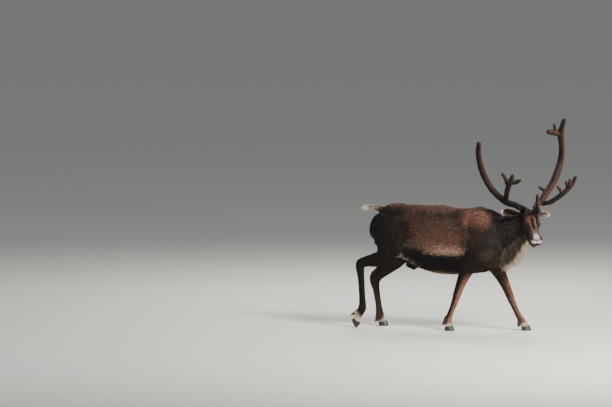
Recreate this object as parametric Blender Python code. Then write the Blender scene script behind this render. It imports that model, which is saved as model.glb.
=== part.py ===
"""A life-size reindeer bull in velvet, walking, shown as a still museum model.

Metres, +Z up. The body faces +X, the animal's left is +Y, and the head is turned to its right. Flesh, head and antlers
are each shaped whole from oval sections, fused into one skin, and parted by thin cuts, so that every named part of the
animal is a closed solid of its own with a hair's breadth to its neighbours. The long hair of throat and tail stands
out from the skin as locks.
"""

import math
import random

import bmesh
import bpy
from mathutils import Matrix, Vector
from mathutils.bvhtree import BVHTree

# General sizes
GAP = 0.0003
FLESH_GRAIN = 0.008
HEAD_GRAIN = 0.0038
ANTLER_GRAIN = 0.0052
FLESH_TRIANGLES = 3500
HEAD_TRIANGLES = 2000
ANTLER_TRIANGLES = 1050
SMOOTH_ANGLE = math.radians(50)

UP = Vector((0, 0, 1))
LEFT = Vector((0, 1, 0))

# The poll is the top of the head between the ears; the head is turned and nods from there
POLL = Vector((0.815, -0.098, 1.105))
HEAD_TURN = math.radians(-52)
FACE_TURN = math.radians(-54.4)
HEAD_NOD = math.radians(43)
CROWN = Matrix.Translation((POLL.x, POLL.y, 0)) @ Matrix.Rotation(HEAD_TURN, 4, "Z")
HEAD = Matrix.Translation(POLL) @ Matrix.Rotation(FACE_TURN, 4, "Z") @ Matrix.Rotation(HEAD_NOD, 4, "Y")

# Torso: along the body, heights of back and belly, half width, and how high up its widest place is, as a share
TORSO = (
    (-0.676, 1.000, 0.885, 0.062, 0.50),
    (-0.658, 1.032, 0.840, 0.108, 0.50),
    (-0.620, 1.062, 0.785, 0.134, 0.49),
    (-0.560, 1.092, 0.730, 0.152, 0.48),
    (-0.460, 1.122, 0.665, 0.170, 0.46),
    (-0.350, 1.132, 0.610, 0.182, 0.44),
    (-0.200, 1.128, 0.545, 0.198, 0.42),
    (-0.050, 1.121, 0.498, 0.208, 0.42),
    (0.080, 1.109, 0.490, 0.208, 0.43),
    (0.200, 1.098, 0.500, 0.197, 0.45),
    (0.310, 1.103, 0.512, 0.182, 0.46),
    (0.400, 1.100, 0.525, 0.168, 0.46),
    (0.480, 1.065, 0.548, 0.152, 0.46),
    (0.550, 1.010, 0.590, 0.125, 0.45),
    (0.600, 0.940, 0.660, 0.085, 0.45),
)

# Sections of neck, throat and tail under the long hair: centre, half width, and reach above and below the centre
NECK = (
    (0.360, 0.000, 0.860, 0.130, 0.215, 0.230),
    (0.470, -0.004, 0.865, 0.122, 0.185, 0.215),
    (0.570, -0.020, 0.885, 0.110, 0.160, 0.190),
    (0.660, -0.045, 0.925, 0.098, 0.140, 0.160),
    (0.735, -0.070, 0.970, 0.078, 0.108, 0.124),
    (0.795, -0.092, 1.018, 0.062, 0.070, 0.088),
    (0.840, -0.115, 1.035, 0.050, 0.045, 0.060),
)
MANE = (
    (0.545, -0.005, 0.725, 0.064, 0.080, 0.088),
    (0.585, -0.012, 0.755, 0.062, 0.080, 0.110),
    (0.625, -0.025, 0.790, 0.060, 0.080, 0.125),
    (0.665, -0.040, 0.830, 0.056, 0.080, 0.130),
    (0.705, -0.056, 0.870, 0.050, 0.070, 0.118),
    (0.745, -0.074, 0.905, 0.040, 0.060, 0.082),
    (0.775, -0.088, 0.930, 0.028, 0.040, 0.040),
)
TAIL = (
    (-0.560, 0.000, 1.060, 0.036, 0.030, 0.034),
    (-0.620, 0.000, 1.074, 0.034, 0.024, 0.030),
    (-0.670, 0.000, 1.084, 0.034, 0.021, 0.028),
    (-0.710, 0.000, 1.086, 0.030, 0.019, 0.028),
    (-0.742, 0.000, 1.078, 0.018, 0.012, 0.018),
)
TAIL_CUT = -0.660

# Sections of the limbs: centre, half thickness, and reach ahead of and behind the centre
LIMBS = {
    "foreleg_right": (
        (0.395, -0.110, 0.900, 0.050, 0.090, 0.110),
        (0.375, -0.140, 0.780, 0.068, 0.125, 0.120),
        (0.335, -0.150, 0.660, 0.064, 0.112, 0.105),
        (0.268, -0.150, 0.565, 0.050, 0.070, 0.080),
        (0.222, -0.142, 0.480, 0.040, 0.054, 0.056),
        (0.183, -0.135, 0.390, 0.033, 0.044, 0.044),
        (0.158, -0.130, 0.325, 0.034, 0.041, 0.039),
        (0.143, -0.130, 0.275, 0.028, 0.034, 0.034),
        (0.116, -0.130, 0.200, 0.024, 0.029, 0.030),
        (0.088, -0.130, 0.130, 0.026, 0.030, 0.031),
        (0.078, -0.130, 0.098, 0.031, 0.034, 0.034),
        (0.080, -0.130, 0.066, 0.034, 0.032, 0.033),
        (0.086, -0.130, 0.015, 0.035, 0.033, 0.033),
    ),
    "foreleg_left": (
        (0.420, 0.110, 0.900, 0.050, 0.090, 0.110),
        (0.405, 0.140, 0.780, 0.068, 0.120, 0.120),
        (0.405, 0.145, 0.660, 0.064, 0.105, 0.110),
        (0.450, 0.138, 0.560, 0.050, 0.074, 0.078),
        (0.500, 0.126, 0.470, 0.040, 0.056, 0.056),
        (0.548, 0.112, 0.380, 0.033, 0.044, 0.043),
        (0.580, 0.103, 0.312, 0.034, 0.041, 0.038),
        (0.602, 0.100, 0.262, 0.028, 0.034, 0.034),
        (0.638, 0.100, 0.188, 0.024, 0.029, 0.030),
        (0.672, 0.100, 0.122, 0.026, 0.030, 0.031),
        (0.693, 0.100, 0.092, 0.031, 0.034, 0.034),
        (0.712, 0.100, 0.064, 0.035, 0.033, 0.034),
        (0.740, 0.100, 0.015, 0.035, 0.033, 0.033),
    ),
    "hindleg_right": (
        (-0.450, -0.090, 1.000, 0.060, 0.130, 0.130),
        (-0.470, -0.120, 0.900, 0.085, 0.160, 0.172),
        (-0.480, -0.135, 0.800, 0.088, 0.165, 0.138),
        (-0.490, -0.145, 0.715, 0.075, 0.140, 0.120),
        (-0.545, -0.145, 0.650, 0.056, 0.098, 0.068),
        (-0.620, -0.138, 0.615, 0.044, 0.068, 0.050),
        (-0.690, -0.130, 0.598, 0.036, 0.050, 0.042),
        (-0.740, -0.123, 0.575, 0.034, 0.042, 0.040),
        (-0.752, -0.120, 0.520, 0.030, 0.039, 0.036),
        (-0.744, -0.120, 0.420, 0.025, 0.034, 0.032),
        (-0.737, -0.120, 0.300, 0.024, 0.032, 0.031),
        (-0.733, -0.120, 0.215, 0.028, 0.036, 0.034),
        (-0.738, -0.120, 0.170, 0.032, 0.040, 0.039),
        (-0.758, -0.120, 0.130, 0.033, 0.034, 0.036),
        (-0.806, -0.120, 0.050, 0.034, 0.033, 0.033),
    ),
    "hindleg_left": (
        (-0.430, 0.090, 1.000, 0.060, 0.130, 0.130),
        (-0.450, 0.120, 0.900, 0.085, 0.160, 0.172),
        (-0.455, 0.135, 0.800, 0.088, 0.160, 0.140),
        (-0.458, 0.145, 0.705, 0.075, 0.138, 0.122),
        (-0.496, 0.145, 0.615, 0.056, 0.098, 0.074),
        (-0.560, 0.138, 0.540, 0.044, 0.070, 0.052),
        (-0.628, 0.130, 0.478, 0.036, 0.050, 0.042),
        (-0.674, 0.123, 0.430, 0.034, 0.044, 0.040),
        (-0.684, 0.120, 0.370, 0.030, 0.037, 0.036),
        (-0.672, 0.120, 0.280, 0.025, 0.032, 0.032),
        (-0.656, 0.120, 0.190, 0.024, 0.030, 0.032),
        (-0.648, 0.120, 0.128, 0.028, 0.035, 0.036),
        (-0.643, 0.120, 0.097, 0.032, 0.038, 0.038),
        (-0.630, 0.120, 0.064, 0.034, 0.033, 0.034),
        (-0.606, 0.120, 0.015, 0.034, 0.033, 0.033),
    ),
}

# The sinew behind each gaskin and the point of the hock: centre, half thickness, and reach out and in
SINEWS = {
    "sinew_right": (
        (-0.596, -0.143, 0.672, 0.022, 0.022, 0.024),
        (-0.655, -0.137, 0.644, 0.017, 0.018, 0.026),
        (-0.715, -0.130, 0.622, 0.016, 0.017, 0.026),
        (-0.764, -0.124, 0.598, 0.018, 0.016, 0.024),
        (-0.776, -0.121, 0.556, 0.018, 0.016, 0.024),
        (-0.766, -0.120, 0.488, 0.017, 0.016, 0.022),
    ),
    "sinew_left": (
        (-0.545, 0.144, 0.634, 0.022, 0.022, 0.024),
        (-0.615, 0.137, 0.556, 0.017, 0.018, 0.026),
        (-0.670, 0.129, 0.504, 0.016, 0.017, 0.026),
        (-0.712, 0.123, 0.460, 0.018, 0.016, 0.024),
        (-0.718, 0.121, 0.410, 0.018, 0.016, 0.024),
        (-0.702, 0.120, 0.348, 0.017, 0.016, 0.022),
    ),
}

# Rounded masses on the body: centre and half sizes
MASSES = (
    ((0.360, 0.108, 0.880), (0.130, 0.080, 0.200)),
    ((0.360, -0.108, 0.880), (0.130, 0.080, 0.200)),
    ((0.330, 0.000, 1.010), (0.130, 0.090, 0.105)),
    ((0.520, 0.000, 0.660), (0.070, 0.100, 0.108)),
    ((-0.420, 0.000, 1.052), (0.160, 0.120, 0.074)),
    ((-0.300, 0.110, 0.690), (0.110, 0.060, 0.070)),
    ((-0.300, -0.110, 0.690), (0.110, 0.060, 0.070)),
    ((-0.290, 0.000, 0.568), (0.075, 0.024, 0.040)),
    ((-0.284, 0.000, 0.538), (0.020, 0.014, 0.026)),
)

# Head, in its own frame: along the face from the poll, centre height, half width, and reach above and below
SKULL = (
    (-0.035, -0.060, 0.045, 0.042, 0.045),
    (0.000, -0.052, 0.061, 0.052, 0.062),
    (0.045, -0.050, 0.069, 0.060, 0.075),
    (0.090, -0.050, 0.073, 0.067, 0.080),
    (0.130, -0.050, 0.076, 0.068, 0.075),
    (0.165, -0.051, 0.070, 0.064, 0.068),
    (0.205, -0.052, 0.057, 0.059, 0.057),
    (0.250, -0.053, 0.053, 0.055, 0.050),
    (0.286, -0.052, 0.057, 0.056, 0.046),
    (0.316, -0.054, 0.060, 0.050, 0.043),
    (0.340, -0.059, 0.059, 0.040, 0.039),
    (0.358, -0.064, 0.050, 0.028, 0.032),
    (0.368, -0.067, 0.034, 0.016, 0.022),
)
JAW = (
    (0.015, -0.100, 0.042, 0.040, 0.040),
    (0.055, -0.112, 0.051, 0.050, 0.046),
    (0.100, -0.116, 0.051, 0.050, 0.044),
    (0.150, -0.112, 0.045, 0.040, 0.037),
    (0.210, -0.108, 0.039, 0.031, 0.033),
    (0.265, -0.104, 0.038, 0.028, 0.028),
    (0.300, -0.099, 0.041, 0.027, 0.026),
    (0.326, -0.090, 0.040, 0.024, 0.022),
    (0.344, -0.082, 0.028, 0.015, 0.015),
)
# Brow, cheek, face ridge, nostril and upper lip, on the left: centre and half sizes
HEAD_MASSES = (
    ((0.135, 0.062, -0.012), (0.036, 0.016, 0.014)),
    ((0.085, 0.046, -0.100), (0.062, 0.026, 0.048)),
    ((0.175, 0.054, -0.070), (0.060, 0.014, 0.014)),
    ((0.328, 0.040, -0.036), (0.027, 0.023, 0.025)),
    ((0.340, 0.026, -0.058), (0.029, 0.034, 0.018)),
)

# Pedicles, the stubs of skull that carry the antlers, in the crown's frame on the left
PEDICLE_FOOT = Vector((0.035, 0.045, 1.050))
BURR = Vector((0.013, 0.063, 1.108))
BURR_RISE = Vector((0.00, 0.34, 0.94)).normalized()
PEDICLE_RADIUS = 0.027
BURR_CUT = 0.043

# Eyes, in the head's frame on the left
EYE_RADIUS = 0.0200
EYE = Vector((0.148, 0.0595, -0.036))
EYE_LOOK = Vector((0.20, 1.0, 0.10)).normalized()
LID_THICK = 0.0034
LID_LENGTH = 0.034
LID_OPENING = 0.023

# Nostrils and mouth, in the head's frame
NOSTRIL = Vector((0.3400, 0.0450, -0.0190))
NOSTRIL_HALF = Vector((0.0110, 0.0080, 0.0090))
MOUTH_WIDTH = 0.0024
MOUTH_IN = 0.72
MOUTH_OUT = 1.45
MOUTH_LINE = (
    (0.248, 0.0390, -0.0860),
    (0.285, 0.0430, -0.0790),
    (0.315, 0.0460, -0.0700),
    (0.336, 0.0420, -0.0635),
    (0.350, 0.0280, -0.0600),
    (0.356, 0.0100, -0.0590),
)
MOUTH_FRONT_IN = 0.338
MOUTH_FRONT_OUT = 0.384

# Ears, in the crown's frame: where each leaves the head, which way it points and which way it opens
EARS = {
    "ear_left": ((-0.022, 0.079, 1.066), (-0.100, 0.975, -0.180), (0.850, 0.100, -0.200)),
    "ear_right": ((-0.018, -0.084, 1.070), (-0.223, -0.968, 0.080), (0.850, -0.150, -0.200)),
}
EAR_LENGTH = 0.158
EAR_THICK = 0.0052
EAR_BEND = 0.018
EAR_STUB = 0.0175
EAR_CUT = 0.030
EAR_POINTS = 8
# Share of the length, radius of the cup, half of the angle that it closes, and how much of it is hollow
EAR_CUP = (
    (0.00, 0.0165, 165, 0.15),
    (0.10, 0.0195, 150, 0.45),
    (0.24, 0.0265, 122, 0.80),
    (0.42, 0.0330, 96, 1.00),
    (0.60, 0.0355, 76, 1.00),
    (0.76, 0.0335, 60, 1.00),
    (0.89, 0.0270, 46, 1.00),
    (0.97, 0.0170, 36, 1.00),
    (1.00, 0.0085, 28, 1.00),
)

# Antlers, in the crown's frame: forward, left, height, and radius in velvet
ANTLER_LEFT = {
    "beam": (
        (0.020, 0.055, 1.080, 0.028),
        (0.010, 0.068, 1.115, 0.029),
        (-0.030, 0.100, 1.148, 0.030),
        (-0.080, 0.148, 1.170, 0.032),
        (-0.150, 0.252, 1.262, 0.032),
        (-0.220, 0.350, 1.378, 0.034),
        (-0.250, 0.408, 1.516, 0.031),
        (-0.200, 0.398, 1.625, 0.027),
        (-0.130, 0.362, 1.755, 0.030),
        (-0.080, 0.354, 1.830, 0.026),
        (-0.045, 0.360, 1.890, 0.023),
    ),
    "brow": (
        (0.000, 0.072, 1.140, 0.023),
        (0.050, 0.050, 1.144, 0.020),
        (0.105, 0.032, 1.130, 0.019),
        (0.160, 0.018, 1.104, 0.020),
        (0.195, 0.010, 1.070, 0.020),
        (0.210, 0.006, 1.034, 0.018),
        (0.216, 0.004, 1.000, 0.014),
    ),
    "brow_upper": (
        (0.150, 0.022, 1.115, 0.019),
        (0.190, 0.012, 1.155, 0.018),
        (0.205, 0.006, 1.210, 0.016),
        (0.212, 0.004, 1.250, 0.014),
    ),
    "brow_middle": (
        (0.180, 0.018, 1.100, 0.018),
        (0.222, 0.010, 1.114, 0.015),
        (0.250, 0.008, 1.126, 0.012),
    ),
    "bez": (
        (-0.075, 0.136, 1.154, 0.026),
        (0.000, 0.200, 1.164, 0.024),
        (0.055, 0.260, 1.211, 0.024),
        (0.098, 0.318, 1.268, 0.024),
        (0.126, 0.368, 1.330, 0.021),
        (0.142, 0.396, 1.392, 0.018),
    ),
    "bez_first": (
        (0.080, 0.296, 1.250, 0.018),
        (0.100, 0.262, 1.284, 0.015),
        (0.110, 0.236, 1.310, 0.012),
    ),
    "bez_second": (
        (0.106, 0.338, 1.296, 0.019),
        (0.134, 0.316, 1.332, 0.016),
        (0.146, 0.304, 1.352, 0.014),
    ),
    "bez_third": (
        (0.116, 0.340, 1.306, 0.018),
        (0.144, 0.340, 1.346, 0.015),
        (0.152, 0.338, 1.372, 0.013),
    ),
    "back": (
        (-0.140, 0.232, 1.250, 0.018),
        (-0.160, 0.190, 1.272, 0.015),
        (-0.170, 0.172, 1.288, 0.013),
    ),
    "crown": (
        (-0.125, 0.360, 1.762, 0.027),
        (-0.112, 0.298, 1.776, 0.027),
        (-0.100, 0.236, 1.788, 0.026),
    ),
    "crown_spike": (
        (-0.112, 0.316, 1.778, 0.018),
        (-0.104, 0.296, 1.820, 0.016),
        (-0.098, 0.284, 1.850, 0.013),
    ),
}
ANTLER_RIGHT = {
    "beam": (
        (0.020, -0.055, 1.080, 0.028),
        (0.010, -0.066, 1.115, 0.029),
        (-0.050, -0.106, 1.146, 0.029),
        (-0.120, -0.174, 1.173, 0.031),
        (-0.200, -0.272, 1.280, 0.030),
        (-0.225, -0.352, 1.434, 0.030),
        (-0.155, -0.418, 1.594, 0.026),
        (-0.060, -0.450, 1.702, 0.023),
    ),
    "brow": (
        (0.000, -0.070, 1.136, 0.021),
        (0.050, -0.062, 1.130, 0.018),
        (0.090, -0.055, 1.114, 0.014),
    ),
    "bez": (
        (-0.120, -0.170, 1.174, 0.027),
        (-0.030, -0.196, 1.250, 0.025),
        (0.045, -0.210, 1.318, 0.027),
        (0.080, -0.211, 1.362, 0.030),
    ),
    "bez_palm": (
        (0.070, -0.232, 1.362, 0.024),
        (0.085, -0.211, 1.366, 0.027),
        (0.095, -0.185, 1.368, 0.025),
    ),
    "bez_first": (
        (0.070, -0.230, 1.362, 0.021),
        (0.098, -0.262, 1.405, 0.017),
        (0.110, -0.292, 1.442, 0.014),
    ),
    "bez_second": (
        (0.080, -0.205, 1.366, 0.022),
        (0.110, -0.200, 1.405, 0.019),
        (0.120, -0.198, 1.422, 0.017),
    ),
    "bez_third": (
        (0.074, -0.195, 1.356, 0.022),
        (0.110, -0.158, 1.366, 0.020),
        (0.130, -0.130, 1.380, 0.016),
    ),
}
# Where each antler is parted, in the crown's frame: centre of the cut, the way across it, and its half size
ANTLER_LEFT_CUTS = (
    ((0.062, 0.046, 1.142), (0.95, -0.28, -0.14), 0.033),
    ((0.008, 0.207, 1.166), (0.62, 0.70, 0.35), 0.032),
    ((-0.114, 0.198, 1.212), (-0.50, 0.67, 0.55), 0.044),
    ((-0.114, 0.312, 1.776), (0.14, -0.98, 0.10), 0.042),
)
ANTLER_RIGHT_CUTS = (
    ((-0.060, -0.187, 1.227), (0.75, -0.22, 0.60), 0.036),
    ((-0.163, -0.226, 1.230), (-0.50, -0.58, 0.64), 0.047),
)
ANTLER_LEFT_PARTS = {
    "antler_left_lower_beam": (-0.04, 0.115, 1.150),
    "antler_left_brow_tine": (0.17, 0.03, 1.10),
    "antler_left_bez_tine": (0.09, 0.31, 1.27),
    "antler_left_upper_beam": (-0.19, 0.39, 1.55),
    "antler_left_crown": (-0.105, 0.29, 1.79),
}
ANTLER_RIGHT_PARTS = {
    "antler_right_lower_beam": (-0.05, -0.11, 1.155),
    "antler_right_bez_tine": (0.05, -0.20, 1.34),
    "antler_right_upper_beam": (-0.18, -0.34, 1.48),
}

# Locks of the mane: rows along the throat, as a point inside the neck, how far the row fans out to each side in
# degrees, how many locks it has, and the length of a lock
MANE_ROWS = (
    ((0.552, -0.006, 0.732), 68, 7, 0.072),
    ((0.580, -0.012, 0.754), 72, 7, 0.080),
    ((0.611, -0.022, 0.782), 74, 7, 0.087),
    ((0.643, -0.034, 0.812), 74, 7, 0.092),
    ((0.674, -0.046, 0.842), 72, 7, 0.090),
    ((0.705, -0.058, 0.871), 66, 7, 0.086),
    ((0.734, -0.070, 0.897), 58, 6, 0.076),
    ((0.758, -0.080, 0.917), 44, 4, 0.064),
)
MANE_OUT = (0.62, 0.00, -0.78)
MANE_FALL = (-0.10, -0.02, -1.00)
LOCK_WIDTH = 0.036
LOCK_THICK = 0.0105
LOCK_SUNK = 0.012
LOCK_SOLVER = "EXACT"
# Sections of a lock: share of its length, of its width and of its thickness
LOCK_SHAPE = ((0.00, 0.70, 0.85), (0.34, 1.00, 1.00), (0.70, 0.72, 0.75), (1.00, 0.08, 0.20))
# Locks of the tail: rows along it, as a share of the way to the tip, how many, and the length of a lock
TAIL_ROWS = ((0.22, 5, 0.056), (0.52, 5, 0.056), (0.80, 5, 0.050), (0.98, 2, 0.038))
TAIL_LOCK_WIDTH = 0.022
TAIL_LOCK_THICK = 0.0075

# Where the flesh is parted: centre of the cut, the way across it, and its half size
NAPE_CUT = ((0.780, -0.080, 0.985), (0.760, -0.533, 0.371), 0.17)
CHEST_CUT = ((0.535, 0.000, 0.845), (0.993, 0.000, 0.119), 0.345)
FLESH_CUTS = (
    NAPE_CUT,
    CHEST_CUT,
    ((TAIL_CUT, 0.000, 1.082), (1.00, 0.00, 0.00), 0.041),
    ((0.212, -0.140, 0.457), (0.40, 0.00, 0.91), 0.09),
    ((0.507, 0.124, 0.457), (-0.48, 0.00, 0.88), 0.09),
    ((0.156, -0.130, 0.318), (0.25, 0.00, 0.97), 0.075),
    ((0.582, 0.102, 0.308), (-0.45, 0.00, 0.89), 0.075),
    ((-0.596, -0.140, 0.630), (0.78, 0.00, 0.62), 0.115),
    ((-0.535, 0.140, 0.585), (0.68, 0.00, 0.73), 0.115),
    ((-0.768, -0.120, 0.540), (0.00, 0.00, 1.00), 0.085),
    ((-0.712, 0.120, 0.398), (0.00, 0.00, 1.00), 0.085),
)
FLESH_PARTS = {
    "torso": (-0.05, 0.0, 0.85),
    "neck": (0.63, -0.03, 0.90),
    "tail": (-0.71, 0.0, 1.082),
    "foreleg_right_upper": (0.183, -0.135, 0.39),
    "foreleg_right_lower": (0.10, -0.13, 0.19),
    "foreleg_left_upper": (0.545, 0.115, 0.385),
    "foreleg_left_lower": (0.64, 0.10, 0.18),
    "hindleg_right_upper": (-0.69, -0.13, 0.60),
    "hindleg_right_lower": (-0.75, -0.12, 0.30),
    "hindleg_left_upper": (-0.64, 0.13, 0.49),
    "hindleg_left_lower": (-0.67, 0.12, 0.22),
}

# Feet: the point on the ground under each, how far the toe tips down, and how far the pastern leans ahead
FEET = {
    "foreleg_right": ((0.086, -0.130, 0.0), 0, 0),
    "foreleg_left": ((0.735, 0.100, 0.0), 0, -18),
    "hindleg_left": ((-0.611, 0.120, 0.0), 0, -14),
    "hindleg_right": ((-0.8125, -0.120, 0.0418), 66, 31),
}
# Outline of the left hoof of a foot, as forward and left
HOOF = (
    (0.050, 0.009),
    (0.043, 0.021),
    (0.026, 0.033),
    (0.004, 0.040),
    (-0.018, 0.038),
    (-0.032, 0.028),
    (-0.036, 0.014),
    (-0.031, 0.003),
    (0.005, 0.003),
    (0.040, 0.003),
)
# Height at the front, height at the heel, size against the outline, and how far it leans back
HOOF_RINGS = ((0.000, 0.000, 0.95, 0.000), (0.006, 0.006, 1.00, -0.001), (0.048, 0.030, 0.84, -0.011))

# Dewclaws, in the pastern's frame on the left: root on the fetlock, way, length, and radius at root and tip
DEWCLAW = Vector((-0.040, 0.020, 0.086))
DEWCLAW_WAY = Vector((-0.34, 0.18, -0.92)).normalized()
DEWCLAW_LENGTH = 0.042
DEWCLAW_SUNK = 0.040
DEWCLAW_COLLAR = 0.003
DEWCLAW_ROOT = 0.0115
DEWCLAW_TIP = 0.0060
DEWCLAW_SIDES = 8


def clear_scene():
    for obj in list(bpy.data.objects):
        bpy.data.objects.remove(obj, do_unlink=True)


def paint(name, rgb, roughness):
    """A Principled material of one colour."""
    material = bpy.data.materials.new(name)
    material.use_nodes = True
    shader = material.node_tree.nodes["Principled BSDF"]
    shader.inputs["Base Color"].default_value = (*rgb, 1)
    shader.inputs["Roughness"].default_value = roughness
    shader.inputs["Metallic"].default_value = 0
    material.diffuse_color = (*rgb, 1)
    return material


def new_object(name, bm):
    """An object in the scene that takes over a bmesh."""
    mesh = bpy.data.meshes.new(name)
    bm.to_mesh(mesh)
    bm.free()
    obj = bpy.data.objects.new(name, mesh)
    bpy.context.scene.collection.objects.link(obj)
    return obj


def settle(obj):
    """Applies an object's modifiers to its mesh."""
    bpy.context.view_layer.update()
    mesh = bpy.data.meshes.new_from_object(obj.evaluated_get(bpy.context.evaluated_depsgraph_get()))
    obj.modifiers.clear()
    old = obj.data
    obj.data = mesh
    bpy.data.meshes.remove(old)
    return obj


def eased(rows, steps):
    """The rows of numbers with more between them, on a Catmull-Rom curve through them all."""
    made = []
    last = len(rows) - 1
    for i in range(last):
        before, start = rows[max(i - 1, 0)], rows[i]
        end, after = rows[i + 1], rows[min(i + 2, last)]
        for k in range(steps):
            t = k / steps
            made.append(tuple(
                0.5 * (2 * b + (c - a) * t + (2 * a - 5 * b + 4 * c - d) * t * t + (3 * b - a - 3 * c + d) * t**3)
                for a, b, c, d in zip(before, start, end, after)
            ))
    made.append(tuple(rows[-1]))
    return made


def add_walls(bm, rings):
    """Joins rings of points into a closed skin with a cap at each end."""
    count = len(rings[0])
    for a, b in zip(rings, rings[1:]):
        for k in range(count):
            n = (k + 1) % count
            bm.faces.new((a[k], a[n], b[n], b[k]))
    bm.faces.new(list(reversed(rings[0])))
    bm.faces.new(rings[-1])


def add_loft(bm, rows, across, sides):
    """Adds a closed skin through oval sections; a row is a centre, a half width, and a reach above and below."""
    rings = []
    last = len(rows) - 1
    centres = [Vector(row[:3]) for row in rows]
    for i, row in enumerate(rows):
        wide, above, below = row[3:6]
        ahead = (centres[min(i + 1, last)] - centres[max(i - 1, 0)]).normalized()
        side = (across - ahead * across.dot(ahead)).normalized()
        rise = ahead.cross(side)
        ring = []
        for k in range(sides):
            turn = math.tau * k / sides
            reach = above if math.sin(turn) > 0 else below
            ring.append(bm.verts.new(centres[i] + side * (wide * math.cos(turn)) + rise * (reach * math.sin(turn))))
        rings.append(ring)
    add_walls(bm, rings)


def add_tube(bm, rows, sides, steps):
    """Adds a round tube with domed ends; a row is a point and a radius."""
    rows = eased(rows, steps)
    start, end = Vector(rows[0][:3]), Vector(rows[-1][:3])
    back = (start - Vector(rows[1][:3])).normalized()
    ahead = (end - Vector(rows[-2][:3])).normalized()
    domes = (0.45, 0.8, 0.98)
    front = [(*(end + ahead * rows[-1][3] * s), rows[-1][3] * math.sqrt(1 - s * s)) for s in domes]
    rear = [(*(start + back * rows[0][3] * s), rows[0][3] * math.sqrt(1 - s * s)) for s in reversed(domes)]
    full = [(*row[:3], row[3], row[3], row[3]) for row in (*rear, *rows, *front)]
    across = LEFT if max(abs(ahead.dot(LEFT)), abs(back.dot(LEFT))) < 0.85 else UP
    add_loft(bm, full, across, sides)


def add_ball(bm, centre, half_sizes, segments=18, rings=12):
    place = Matrix.Translation(centre) @ Matrix.Diagonal((*half_sizes, 1))
    bmesh.ops.create_uvsphere(bm, u_segments=segments, v_segments=rings, radius=1, matrix=place)


def fused(obj, grain, rounds, triangles):
    """Fuses the shells of an object into one skin of about that many triangles."""
    remesh = obj.modifiers.new("fuse", "REMESH")
    remesh.mode = "VOXEL"
    remesh.voxel_size = grain
    soften = obj.modifiers.new("soften", "SMOOTH")
    soften.factor = 0.5
    soften.iterations = rounds
    settle(obj)
    fewer = obj.modifiers.new("fewer", "DECIMATE")
    fewer.ratio = triangles / sum(len(face.vertices) - 2 for face in obj.data.polygons)
    return settle(obj)


def combine(obj, other, operation, solver="EXACT"):
    """Joins another object to this one, or cuts it away, and removes the other."""
    step = obj.modifiers.new("combine", "BOOLEAN")
    step.operation = operation
    step.solver = solver
    step.object = other
    settle(obj)
    bpy.data.objects.remove(other, do_unlink=True)
    return obj


def facing(way):
    """A rotation that turns +Z to the given way."""
    return Vector(way).to_track_quat("Z", "Y").to_matrix().to_4x4()


def turned(frame, way):
    return (frame.to_3x3() @ Vector(way)).normalized()


def opposite(point, side):
    """A point or a way on the left, or its mirror image on the right."""
    return Vector((point[0], point[1] * side, point[2]))


def islands(bm):
    """The connected sets of vertices of a bmesh, in the order of their first vertex."""
    seen = set()
    found = []
    for first in bm.verts:
        if first in seen:
            continue
        seen.add(first)
        reached = [first]
        for vert in reached:
            for link in vert.link_edges:
                other = link.other_vert(vert)
                if other not in seen:
                    seen.add(other)
                    reached.append(other)
        found.append(reached)
    return found


def drop_scraps(bm):
    """Keeps the largest connected piece of a bmesh."""
    found = sorted(islands(bm), key=len)
    scraps = [vert for island in found[:-1] for vert in island]
    bmesh.ops.delete(bm, geom=scraps, context="VERTS")


def trim(obj, point, outward):
    """Cuts off what lies beyond a plane and closes the cut with a flat face."""
    bm = bmesh.new()
    bm.from_mesh(obj.data)
    everything = bm.verts[:] + bm.edges[:] + bm.faces[:]
    bmesh.ops.bisect_plane(bm, geom=everything, plane_co=point, plane_no=outward, clear_outer=True)
    bmesh.ops.edgeloop_fill(bm, edges=[edge for edge in bm.edges if edge.is_boundary])
    drop_scraps(bm)
    bm.to_mesh(obj.data)
    bm.free()


def tidy(obj):
    """Keeps the largest closed surface of an object."""
    bm = bmesh.new()
    bm.from_mesh(obj.data)
    drop_scraps(bm)
    bm.to_mesh(obj.data)
    bm.free()


def middle(verts):
    return sum((vert.co for vert in verts), Vector()) / len(verts)


def slabs(cuts, frame):
    """Flat slabs, as thick as the gap, in one object."""
    bm = bmesh.new()
    for centre, way, half in cuts:
        place = Matrix.Translation(centre) @ facing(way) @ Matrix.Diagonal((2 * half, 2 * half, GAP, 1))
        bmesh.ops.create_cube(bm, size=1, matrix=frame @ place)
    return new_object("slabs", bm)


def parted(whole, cuts, markers, frame=Matrix()):
    """Cuts a body apart with slabs; each marker names the piece whose middle lies nearest to it."""
    combine(whole, slabs(cuts, frame), "DIFFERENCE")
    bm = bmesh.new()
    bm.from_mesh(whole.data)
    pieces = [(middle(island), {vert.index for vert in island}) for island in islands(bm)]
    bm.free()
    made = {}
    for name, marker in markers.items():
        place = frame @ Vector(marker)
        keep = min(pieces, key=lambda piece: (piece[0] - place).length)[1]
        piece = bmesh.new()
        piece.from_mesh(whole.data)
        bmesh.ops.delete(piece, geom=[vert for vert in piece.verts if vert.index not in keep], context="VERTS")
        made[name] = new_object(name, piece)
    bpy.data.objects.remove(whole, do_unlink=True)
    return made


def add_flesh(bm):
    """Adds the sections of torso, neck, throat, tail and limbs to one mesh."""
    torso = [
        (x, 0, belly + (back - belly) * share, wide, (back - belly) * (1 - share), (back - belly) * share)
        for x, back, belly, wide, share in TORSO
    ]
    add_loft(bm, eased(torso, 4), LEFT, 28)
    for rows in (NECK, MANE):
        add_loft(bm, eased(rows, 4), LEFT, 24)
    add_loft(bm, eased(list(reversed(TAIL)), 4), LEFT, 16)
    for rows in (*LIMBS.values(), *SINEWS.values()):
        add_loft(bm, eased(rows, 4), LEFT, 18)
    for centre, half_sizes in MASSES:
        add_ball(bm, centre, half_sizes)


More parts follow.
